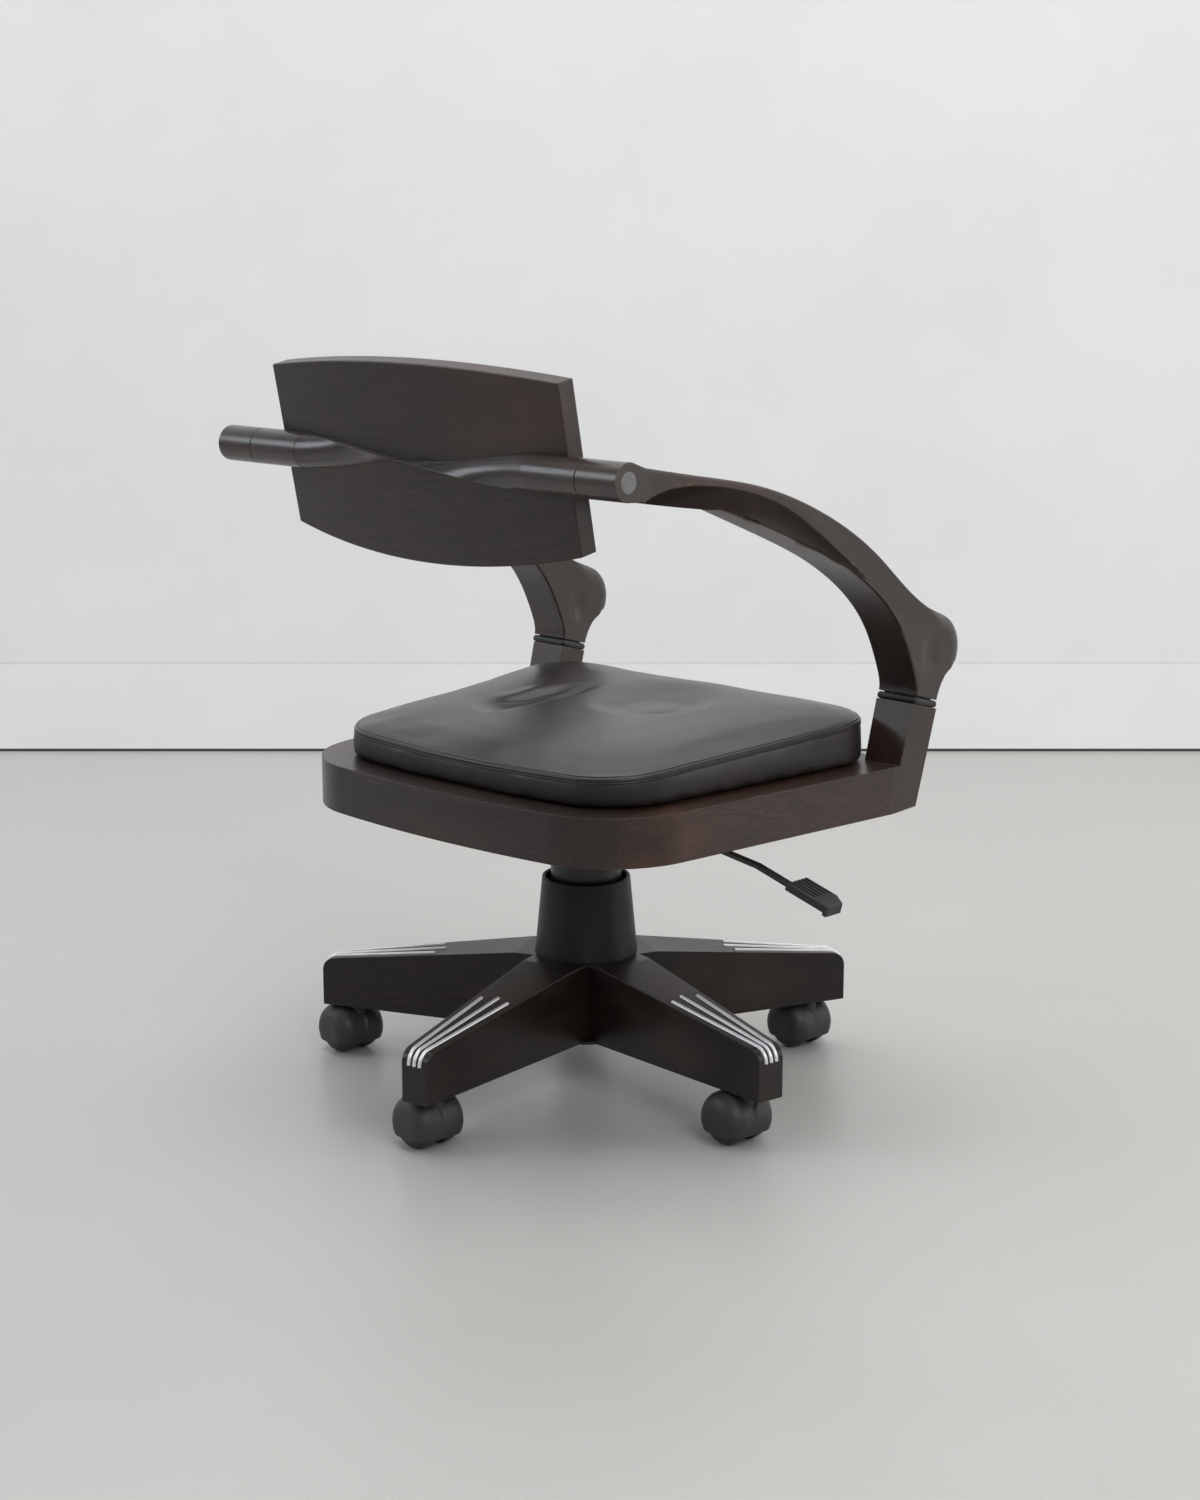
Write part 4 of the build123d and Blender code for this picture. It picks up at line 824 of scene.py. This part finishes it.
def find_seam():
    """Where the seam runs on the filled cover, and which way the cover faces there."""
    polygons = [tuple(p.vertices) for p in cushion.data.polygons]
    tree = BVHTree.FromPolygons([tuple(p) for p in co], polygons)
    spots = []
    facings = []
    starts = cushion_outline(SEEK_FROM, SEAM_POINTS)
    targets = cushion_outline(SEEK_TO, SEAM_POINTS)
    for outer, inner in zip(starts, targets):
        level = seam_height(inner[1]) + SEAM_LEVEL
        aim = Vector((*(inner - outer), 0)).normalized()
        hit, facing = tree.ray_cast(Vector((*outer, level)), aim)[:2]
        spots.append(hit)
        facings.append(facing)
    evened = smooth_loop(np.array(spots), SEAM_EVENED)
    return evened, unit(smooth_loop(np.array(facings), FACING_EVENED))


seam, out = find_seam()
run = unit(np.roll(seam, -1, axis=0) - np.roll(seam, 1, axis=0))
up = unit(np.cross(out, run))
up *= np.sign(up[:, 2:3])


def sew_band():
    """The welt: its profile drawn along the seam."""
    rows = []
    for across, proud in BAND_PROFILE:
        rows.append(seam + up * across * MILLIMETRE + out * proud * MILLIMETRE)
    faces = []
    for index in range(len(rows) - 1):
        faces += ring_faces(index * SEAM_POINTS, (index + 1) * SEAM_POINTS, SEAM_POINTS)
    band = mesh_object("seat_cushion_welt", np.vstack(rows), faces)
    bm = bmesh.new()
    bm.from_mesh(band.data)
    bmesh.ops.recalc_face_normals(bm, faces=bm.faces)
    bm.to_mesh(band.data)
    bm.free()
    shade_smooth(band.data)
    band.data.materials.append(hide)
    return band


def one_stitch(middle, row):
    """Rings of points along one short thread, which dives into the leather at both ends."""
    rings = []
    for share in STITCH_SHARES:
        place = middle + share * STITCH_PITCH / seam_step
        index = int(place) % SEAM_POINTS
        following = (index + 1) % SEAM_POINTS
        part = place - math.floor(place)
        spot = seam[index] * (1 - part) + seam[following] * part
        lift = STITCH_RISE * math.cos(share / STITCH_SHARES[-1] * math.pi / 2) - STITCH_SINK
        centre = spot + up[index] * row + out[index] * lift
        for k in range(STITCH_SIDES):
            angle = k * 2 * math.pi / STITCH_SIDES
            spoke = up[index] * math.cos(angle) + out[index] * math.sin(angle)
            rings.append(centre + spoke * STITCH_RADIUS)
    return rings


def sew_stitches():
    """Two rows of stitches, one along each edge of the welt."""
    points = []
    faces = []
    for row in STITCH_ROWS:
        for number in range(int(SEAM_POINTS * seam_step / STITCH_PITCH)):
            start = len(points)
            points += one_stitch((number + 0.5) * STITCH_PITCH / seam_step, row)
            for ring in range(len(STITCH_SHARES) - 1):
                near = start + ring * STITCH_SIDES
                faces += ring_faces(near, near + STITCH_SIDES, STITCH_SIDES)
    return mesh_object("seat_cushion_stitches", points, faces)


seam_step = float(np.linalg.norm(np.roll(seam, -1, axis=0) - seam, axis=1).mean())
welt = sew_band()
stitches = sew_stitches()
shade_smooth(stitches.data)
thread = plastic("thread_black", (0.012, 0.0115, 0.0115), (0.023, 0.022, 0.0215), 0.5, 2500.0)
stitches.data.materials.append(thread)
for piece in (welt, stitches):
    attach(piece, "seat")


# Stage: a pale painted floor, a pale wall with its skirting board, and dark strips painted as the shadow
# under the skirting and the shade line along its top

EYE = Vector((-1.7782, 1.87706, 0.92952))
LOOK = Vector((0.66763, -0.71287, -0.21472))
HEADING = Vector((LOOK.x, LOOK.y, 0)).normalized()
ACROSS = Vector((-HEADING.y, HEADING.x, 0))
WALL_AWAY = 4.23
STAGE_HALF = 9.0


def stage_material(name, colour, rough, cloud_scale, bump_scale, height):
    """Rolled emulsion or floor paint: faint clouds in it and the texture of the roller."""
    s = Shader(name)
    plain = s.mapped((1, 1, 1))
    cloud = s.noise(plain, cloud_scale, 3.0)
    roller = s.noise(plain, bump_scale, 4.0, 0.6)
    tint = s.mix(s.range(cloud, 0.3, 0.7), scaled(colour, 0.965), colour)
    gloss = s.range(cloud, 0.3, 0.7, rough - 0.04, rough + 0.06)
    s.finish(tint, gloss, s.bump(roller, height, 0.5))
    return s


def seen_from_front(s):
    """Let a wall be looked through from behind."""
    back = s.add("ShaderNodeNewGeometry").outputs["Backfacing"]
    clear = s.add("ShaderNodeBsdfTransparent")
    blend = s.add("ShaderNodeMixShader")
    s.link(back, blend.inputs[0])
    s.link(s.principled.outputs["BSDF"], blend.inputs[1])
    s.link(clear.outputs["BSDF"], blend.inputs[2])
    s.link(blend.outputs["Shader"], s.tree.nodes["Material Output"].inputs["Surface"])


def wall_panel(name, forward, low, high, colour):
    """An upright strip of the wall: so far before it, from one height to another."""
    middle = EYE + HEADING * (WALL_AWAY - forward)
    a = middle - ACROSS * STAGE_HALF
    b = middle + ACROSS * STAGE_HALF
    points = [(*a.xy, low), (*b.xy, low), (*b.xy, high), (*a.xy, high)]
    made = mesh_object(name, points, [(3, 2, 1, 0)])
    s = stage_material(name + "_paint", colour, 0.55, 3.0, 42.0, 0.0006)
    seen_from_front(s)
    made.data.materials.append(s.material)
    return made


floor_corners = [(-1, -1, 0), (1, -1, 0), (1, 1, 0), (-1, 1, 0)]
floor = mesh_object("stage_floor", np.array(floor_corners) * STAGE_HALF, [(0, 1, 2, 3)])
floor_paint = stage_material("stage_floor_paint", (0.500, 0.492, 0.476), 0.335, 2.6, 40.0, 0.00003)
floor.data.materials.append(floor_paint.material)
walls = [
    wall_panel("stage_wall", 0.0, 0.0, 5.0, (0.89, 0.89, 0.89)),
    wall_panel("stage_skirting", 0.018, 0.006, 0.156, (0.93, 0.93, 0.93)),
    # A greyer strip along the skirting's top: painted shade along its edge.
    wall_panel("stage_skirting_shade_line", 0.0185, 0.154, 0.1575, (0.80, 0.80, 0.80)),
    # A dark strip at the wall's foot: painted shadow under the skirting.
    wall_panel("stage_gap_painted_shadow", 0.012, 0.0, 0.006, (0.05, 0.05, 0.05)),
]


# Light: a dim room, daylight from a window on either side and a pale ceiling

world = bpy.data.worlds.new("studio")
scene.world = world
world.use_nodes = True
sky = world.node_tree.nodes["Background"]
sky.inputs["Color"].default_value = (0.80, 0.805, 0.815, 1.0)
sky.inputs["Strength"].default_value = 0.42


def window(name, spot, target, size, power, colour):
    """A large soft light that faces a target."""
    lamp = bpy.data.lights.new(name, "AREA")
    lamp.shape = "RECTANGLE"
    lamp.size, lamp.size_y = size
    lamp.energy = power
    lamp.color = colour
    made = bpy.data.objects.new(name, lamp)
    scene.collection.objects.link(made)
    made.location = spot
    made.rotation_euler = (Vector(target) - Vector(spot)).to_track_quat("-Z", "Y").to_euler()


window("window_rear", (-3.4, 1.2, 2.7), (0, 0, 0.4), (2.6, 1.8), 62.0, (0.97, 0.98, 1.0))
window("window_left", (3.2, 3.4, 2.5), (0, 0, 0.5), (2.4, 1.8), 55.0, (0.84, 0.92, 1.0))
window("window_right", (-3.5, -3.0, 1.5), (0, 0, 0.6), (2.4, 2.2), 38.0, (1.0, 0.985, 0.96))
window("ceiling_bounce", (0.4, -0.6, 3.6), (0, 0, 0), (4.0, 4.0), 112.0, (1.0, 0.99, 0.975))


# Camera, as the photograph was taken

lens = bpy.data.cameras.new("camera")
lens.sensor_width = 36.0
lens.lens = 59.954
camera = bpy.data.objects.new("camera", lens)
scene.collection.objects.link(camera)
camera.location = EYE
camera.rotation_euler = LOOK.to_track_quat("-Z", "Y").to_euler()
scene.camera = camera
scene.view_settings.view_transform = "Standard"
